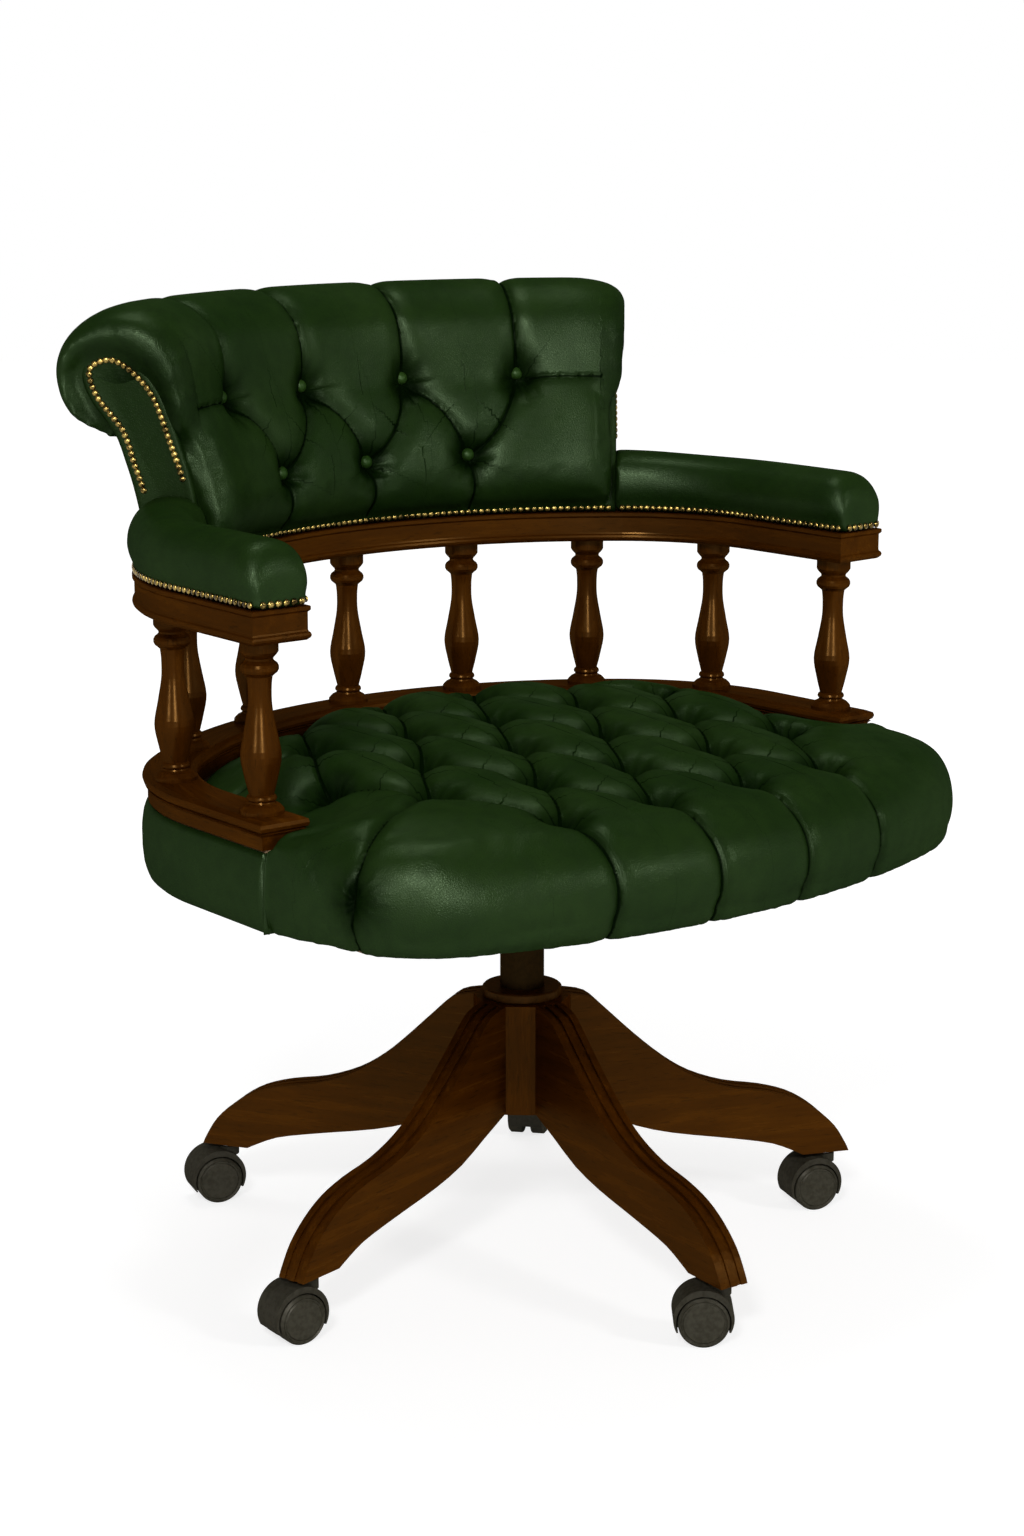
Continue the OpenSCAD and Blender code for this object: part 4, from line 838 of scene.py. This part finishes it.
# The share of the side's height, and of the drawing in, at each level from the board up
EDGE = [(0, 0.52), (0.07, 0.36), (0.16, 0.20), (0.27, 0.07), (0.40, 0.0), (0.55, 0.02), (0.68, 0.10),
        (0.79, 0.24), (0.88, 0.42), (0.95, 0.66), (1.0, 1.0)]
at_front = 12 * smoothstep((ARM_FRONT - 15 - outline[:, 1]) / 60)
at_nose = 12 * np.maximum(inward[:, 1], 0) * (1 - smoothstep((np.abs(outline[:, 0]) - 240) / 80))
seat = bmesh.new()
rings, edges = [], []
for up_share, in_share in EDGE:
    z = SEAT_LOW + (SEAT_SIDE - SEAT_LOW) * up_share
    drawn_in = in_share * (8 + turned_in * 6 + at_front + at_nose)
    ring = outline + inward * drawn_in[:, None]
    ring[outline[:, 1] == ARM_FRONT, 1] = ARM_FRONT
    rings.append([seat.verts.new((x, y, z)) for x, y in ring])
    edges.append([seat.edges.new(pair) for pair in zip(rings[-1], rings[-1][-1:] + rings[-1][:-1])])
    if len(edges) > 1:
        bmesh.ops.bridge_loops(seat, edges=edges[-2] + edges[-1])
seat.faces.new(rings[0])
seat.faces.new(rings[-1])
bmesh.ops.recalc_face_normals(seat, faces=seat.faces)


def seat_held(where):
    rear = (where[:, 1] > ARM_FRONT - 20) & (where[:, 2] < SEAT_SIDE - 8)
    return ((where[:, 2] < SEAT_LOW + 8) | rear).astype(float)


seat_mesh = stuffed("seat", seat, 6, seat_held, 3.5)

# %% Seat's crown and corners
where = places(seat_mesh)
plan = where[:, :2]
edge_gap, _ = to_line(plan, np.vstack([outline, outline[:1]]))
edge_gap = np.abs(edge_gap)
upper = smoothstep((where[:, 2] - 430) / 24)
crown = CROWN_FRONT + (CROWN_REAR - CROWN_FRONT) * smoothstep((where[:, 1] + 290) / 330)
where[:, 2] += crown * smoothstep((edge_gap - 10) / 80) * upper
# The remesh rounds the corner behind the arm's tip, where cushion and band are sewn edge to edge
corner = smoothstep((where[:, 1] - ARM_FRONT + 10) / 9) * (np.abs(plan[:, 0]) > SIDE_IN + 8)
corner = corner * (where[:, 2] < 441)
heights, shares = [SEAT_LOW + (SEAT_SIDE - SEAT_LOW) * up for up, _ in EDGE], [share for _, share in EDGE]
rim_x = SEAT_REAR - 14 * np.interp(where[:, 2], heights, shares)
at_rim = corner * smoothstep((np.abs(plan[:, 0]) - SEAT_REAR + 26) / 16)
where[:, 0] += (np.sign(plan[:, 0]) * rim_x - plan[:, 0]) * at_rim
where[:, 1] += (ARM_FRONT - where[:, 1]) * at_rim * (where[:, 1] > ARM_FRONT - 5)
inside = (where[:, 2] < SEAT_LOW + 3) & (edge_gap > 36)
where[inside, 2] = BOARD_TOP
put(seat_mesh, where)

# %% Seat's tufts and pleats
ROW_BOW = (2.2e-4, 4e-4, 2e-4, 0, 0, 0)
ROW_HALF = (160, 210, 260, 260, 200, 110)
CORNER_WAY = ((258, -150), (300, -172), (330, -190), (380, -200))
CATCH = (-195, 418)


def tuft_place(row, k):
    x = (k + (0.5 if row % 2 == 0 else 0)) * TUFT_X
    return x, -TUFT_FIRST + row * TUFT_Y + ROW_BOW[row] * x * x


tufts = {(row, k): tuft_place(row, k) for row in range(6) for k in range(-4, 5)}
tufts = {(row, k): p for (row, k), p in tufts.items() if abs(p[0]) < ROW_HALF[row]}
seat_pleats = []
for (row, k), p in tufts.items():
    for other in ((row + 1, k if row % 2 == 0 else k - 1), (row + 1, k + 1 if row % 2 == 0 else k)):
        if other in tufts:
            seat_pleats.append((bowed(p, tufts[other], 4 if (row + k) % 2 else -4), 1.0, 1.0, 34))
    if row == 0:
        seat_pleats.append(([p, (p[0], p[1] - 40), (p[0], -420)], 1.0, 0.7, 15))
    if (row, abs(k)) == (1, 2):
        side = 1 if k > 0 else -1
        seat_pleats.append(([p] + [(side * x, y) for x, y in CORNER_WAY], 1.0, 0.9, 18))
    for outer_row, beyond, widen, on in ((2, 240, 1.28, -14), (3, 190, 1.5, 8), (4, 140, 1.45, 40)):
        if row == outer_row and abs(p[0]) > beyond:
            seat_pleats.append(([p, (p[0] * widen, p[1] + on)], 0.8, 0.3, 18))
    if row == 5:
        seat_pleats.append(([p, (p[0] * 1.1, 262)], 0.8, 0.6, 18))
depth, nearest, way = pleat(plan, list(tufts.values()), seat_pleats, fold=12, pit=25, pit_width=34)
# The corner pleat is caught down half way to the board, and the hide gathers along the bottom. Round the
# catch the leather gets the painted shade of a tuft's hollow.
for side in (-1, 1):
    from_catch = where - np.array([side * SEAT_HALF, *CATCH])
    near_catch = np.linalg.norm(from_catch, axis=1)
    depth += 5 * np.exp(-(near_catch / 13) ** 2)
    caught = near_catch < 60
    way[caught] = from_catch[caught][:, 1:]
gathers = np.array([noise.noise(Vector((a * 34, 0, 2))) + 0.6 * noise.noise(Vector((a * 80, 0, 5)))
                    for a in np.arctan2(where[:, 0], -where[:, 1])])
depth += 1.8 * gathers * (1 - smoothstep((where[:, 2] - SEAT_LOW) / 42)) * (where[:, 1] < ARM_FRONT)
calm = smoothstep((where[:, 2] - SEAT_LOW + 4) / 10)
calm = calm * np.where(where[:, 1] > ARM_FRONT, smoothstep((edge_gap - 2) / 22), 1.0)
top_share = np.clip((where[:, 2] - 434) / 30, 0, 1)
frontal = np.where(edge_gap < 36, 1 - 0.25 * (1 - top_share), 1.0)
put(seat_mesh, where - normals(seat_mesh) * (depth * calm * frontal)[:, None])
mark(seat_mesh, np.where(calm > 0.15, nearest, FAR), way)
seat_piece = piece_of("seat_upholstery", seat_mesh, pleated_leather)
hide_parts("seat_cushion")
print("seat", len(seat_mesh.polygons), "faces,", len(tufts), "tufts")

# %% [markdown]
# ## Arm pads
# Each arm carries a long pad that stands a little higher against the back, with a round nose. Its ring is a
# loaf with a narrow skirt that the brass nails hold to the rail, swept along the rail and shrunk at the nose.

# %% Arm pads
# The loaf's ring: the share of its half width out, and of its height up
PAD = [(-0.86, 0.29), (-0.96, 0.37), (-1.03, 0.52), (-0.99, 0.70), (-0.80, 0.88), (-0.46, 0.98), (0, 1.01),
       (0.46, 0.98), (0.80, 0.88), (0.99, 0.70), (1.03, 0.52), (0.96, 0.37), (0.86, 0.29)]
PAD_BACK, PAD_FRONT = BACK_STOP + 4.2, RAIL_L + 1
PAD_HALF, PAD_H, PAD_RISE, NOSE = 31, 54, 4, 25
arm_stations = list(np.linspace(PAD_BACK, PAD_FRONT - NOSE, 46))
arm_stations += [PAD_FRONT - NOSE * (1 - math.sin(a)) for a in np.linspace(0.15, math.pi / 2, 9)]


def arm_ring(side):
    def ring(k):
        s = arm_stations[k]
        t = min((PAD_FRONT - s) / NOSE, 1)
        full = math.sqrt(max(1 - (1 - t) ** 2, 0))
        rise = PAD_RISE * float(1 - smoothstep((s - PAD_BACK) / (CORNER_L * 0.9))) ** 1.5
        h = (PAD_H + rise - SKIRT_H) * (0.3 + 0.7 * full)
        half = PAD_HALF - 8 * (1 - full)
        skirt = min(SKIRT, half - 1)
        line = [(-skirt, 0.4), (-skirt, SKIRT_H)]
        line += [(x * half, SKIRT_H + (y - 0.28) / 0.73 * h) for x, y in PAD]
        line += [(skirt, SKIRT_H), (skirt, 0.4), (0, 0.4), (-skirt, 0.4)]
        return [rail_point(side * s, o, ARM_TOP + z) for o, z in even_line(line, 49)[:-1]]
    return ring


def arm_held(where):
    return (where[:, 2] < ARM_TOP + SKIRT_H + 2).astype(float)


for side, label in ((1, "left"), (-1, "right")):
    mesh = stuffed(f"arm_{label}", tube(arm_ring(side), 48, len(arm_stations)), 4, arm_held, 3.0)
    piece = piece_of(f"arm_upholstery_{label}", mesh, smooth_leather)
    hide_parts(f"arm_pad_{label}")
    print(piece.name, len(mesh.polygons), "faces")

# %% [markdown]
# ## End panels and band
# Flat pieces of the same hide close the two ends of the back, cut to the curl of the roll and nailed along
# their edge. A plain band of hide covers the seat's frame below the lower rail.

# %% End panels
# A panel's flat piece reaches in under the hide, and its face stands out past the end of the board
FACING, PANEL_IN = 4.5, 14
# Each inset's width, and how far it lifts what is inside it
PANEL_STEPS = ((1.4, 0.8), (1.6, 0.4), (2.6, -0.2), (4.0, -0.7))


def end_way(side, s):
    """The level direction along the line at s, towards the front."""
    return (rail_point(side * (s + 1)) - rail_point(side * s)).normalized()


panels = bmesh.new()
for side in (-1, 1):
    flat_panel = even_line(smooth_line(PANEL, 5), 64)
    rim = [panels.verts.new(rail_point(side * BACK_STOP, o, ARM_TOP + z)) for o, z in flat_panel]
    along = end_way(side, BACK_STOP)
    bmesh.ops.translate(panels, vec=along * -PANEL_IN, verts=rim)
    face = panels.faces.new(rim)
    moved = bmesh.ops.extrude_face_region(panels, geom=[face])["geom"]
    lifted = [v for v in moved if isinstance(v, bmesh.types.BMVert)]
    bmesh.ops.translate(panels, vec=along * (PANEL_IN + FACING - 0.7), verts=lifted)
    top = next(f for f in moved if isinstance(f, bmesh.types.BMFace))
    for thickness, height in PANEL_STEPS:
        bmesh.ops.inset_region(panels, faces=[top], thickness=thickness, use_even_offset=False)
        bmesh.ops.translate(panels, vec=along * height, verts=top.verts)
panel_piece = piece_from("end_panels", panels, panel_leather_painted_shade)
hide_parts("scroll_facings")
print("end panels", len(panel_piece.data.polygons), "faces")

# %% Band
# The band's section: how far out from the line and how far up from the board's underside
BAND = [(16.3, 0), (17.5, 0), (20.5, 4), (23.6, 13), (25.4, 27), (25.4, 42), (23.6, 56), (20.6, 65),
        (18.5, 69), (16.3, 69.2), (16.3, 0)]
BAND_BACK = 18
band_stations = list(np.linspace(-RAIL_L + 1.2, RAIL_L - 1.2, 260))


def band_ring(k):
    s = band_stations[k]
    ends = min(1, (RAIL_L - abs(s)) / 14)
    line = []
    for o, z in even_line([(o, SEAT_LOW + up) for o, up in BAND], 25)[:-1]:
        if o > BAND_BACK:
            long_wave, short_wave = Vector((s / 26, z / 30, 3)), Vector((s / 9, z / 60, 7))
            ripple = 0.5 * noise.noise(long_wave) + 0.3 * noise.noise(short_wave)
            o += ripple - 0.08 * (o - BAND_BACK) * (1 - ends)
        line.append(rail_point(s, o, z))
    return line


band = piece_from("seat_band_hide", tube(band_ring, 24, len(band_stations)), smooth_leather)
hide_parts("seat_band")
flaps = bmesh.new()
for side in (-1, 1):
    forward = end_way(side, RAIL_L)
    bmesh.ops.create_grid(flaps, x_segments=8, y_segments=12, size=1)
    flap = [v for v in flaps.verts if not v.tag]
    for v in flap:
        v.tag = True
        o, z = 4.5 + 18.5 * v.co.x, SEAT_LOW + 35.2 + 33.8 * v.co.y
        puff = 0.25 + 0.35 * (1 + noise.noise(Vector((o / 9, z / 9, side))))
        v.co = rail_point(side * RAIL_L, o, z) + forward * puff
band_ends = piece_from("seat_band_ends", flaps, smooth_leather)
thick = band_ends.modifiers.new("hide", "SOLIDIFY")
thick.thickness, thick.offset = 0.0005, 0
print("band", len(band.data.polygons), "faces")

# %% [markdown]
# ## Buttons and nails
# A covered button is a low dome with a rolled edge, spun from half its outline. The nails are cast with a
# domed head, so each is half a small sphere, pressed flat and set a little unevenly, as nails driven by hand
# are.

# %% Buttons
def aim(place, direction, spin=0.0):
    """A matrix that puts a shape drawn along +Z at a place, pointing in a direction."""
    return (Matrix.Translation(place) @ Vector(direction).to_track_quat("Z", "Y").to_matrix().to_4x4()
            @ Matrix.Rotation(spin, 4, "Z"))


def stamped(stamp, spots):
    """One mesh with the stamp's shape at every spot, each a matrix."""
    pattern = bpy.data.meshes.new("pattern")
    stamp.to_mesh(pattern)
    stamp.free()
    bm = bmesh.new()
    for matrix in spots:
        first = len(bm.verts)
        bm.from_mesh(pattern)
        bm.verts.ensure_lookup_table()
        bmesh.ops.transform(bm, matrix=matrix, verts=bm.verts[first:])
    bpy.data.meshes.remove(pattern)
    return bm


button = bmesh.new()
button_line = [(0, 5.6), (2.0, 5.3), (4.0, 4.3), (5.4, 2.9), (6.2, 1.2), (6.2, -0.6), (5.2, -1.6), (0, -1.8)]
verts = [button.verts.new((r, 0, z)) for r, z in button_line]
edges = [button.edges.new(pair) for pair in zip(verts, verts[1:])]
bmesh.ops.spin(button, geom=verts + edges, cent=(0, 0, 0), axis=(0, 0, 1), angle=math.tau, steps=20,
               use_merge=True)
bmesh.ops.remove_doubles(button, verts=button.verts, dist=0.01)
# How far each row stands out from the line, deep in the hide, and how much it looks up
button_spots = []
for row, stand, tilt in ((up_buttons, -5.6, 0.25), (low_buttons, -31.6, 0.05)):
    for x, y in row:
        button_spots.append(aim(rail_point(x, stand, ARM_TOP + y), Vector((0, 0, tilt)) - rail_out(x)))
button_piece = piece_from("covered_buttons", stamped(button, button_spots), button_leather_painted_light)
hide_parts("back_buttons")
print("buttons", len(button_spots))

# %% Nails
rng = random.Random(7)
nail_spots = []
NAIL_Z, NAIL_OUT, NAIL_PITCH, NAIL_R = ARM_TOP + SKIRT_H / 2 + 0.3, SKIRT + 0.4, 7.0, 2.9
# The nails' line on an end panel, up its rear edge, round the curl and down its front
PANEL_NAILS = [(26.5, 61), (34.5, 84.5), (44, 113), (65.5, 140), (73, 161), (67, 170), (51, 173), (32.5, 162),
               (15.5, 141), (3, 107), (-9, 72)]


def spread(a, b):
    return np.linspace(a, b, max(round((b - a) / NAIL_PITCH), 1) + 1)


def both_edges(s, line_side):
    return [(rail_point(line_side * s, edge * NAIL_OUT, NAIL_Z), rail_out(line_side * s) * edge, 1)
            for edge in (-1, 1)]


for side in (-1, 1):
    for s in spread(PAD_BACK + 7, PAD_FRONT - 6.5):
        nail_spots += both_edges(s, side)
    along = end_way(side, BACK_STOP)
    for o, z in even_line(smooth_line(PANEL_NAILS, 4), 48):
        place = rail_point(side * BACK_STOP, o, ARM_TOP + z) + along * (FACING + 0.2)
        nail_spots.append((place, along, 1.05))
    forward = end_way(side, RAIL_L)
    for o in spread(-18.5, 18.5):
        nail_spots.append((rail_point(side * (RAIL_L + 0.5), o, NAIL_Z) + forward * 0.6, forward, 1.1))
for s in spread(3 - BACK_STOP, BACK_STOP - 3):
    nail_spots += both_edges(s, 1)
head = bmesh.new()
bmesh.ops.create_uvsphere(head, u_segments=10, v_segments=8, radius=NAIL_R)
bmesh.ops.delete(head, geom=[v for v in head.verts if v.co.z < -0.1], context="VERTS")
bmesh.ops.scale(head, vec=(1, 1, 0.62), verts=head.verts)
bmesh.ops.holes_fill(head, edges=[e for e in head.edges if e.is_boundary])
nail_set = [aim(place, direction + Vector([rng.uniform(-0.08, 0.08) for _ in range(3)]), rng.uniform(0, 3))
            @ Matrix.Scale(size, 4) for place, direction, size in nail_spots]
nail_piece = piece_from("brass_nail_heads", stamped(head, nail_set), brass)
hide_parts("brass_nails")
print("nails", len(nail_spots))
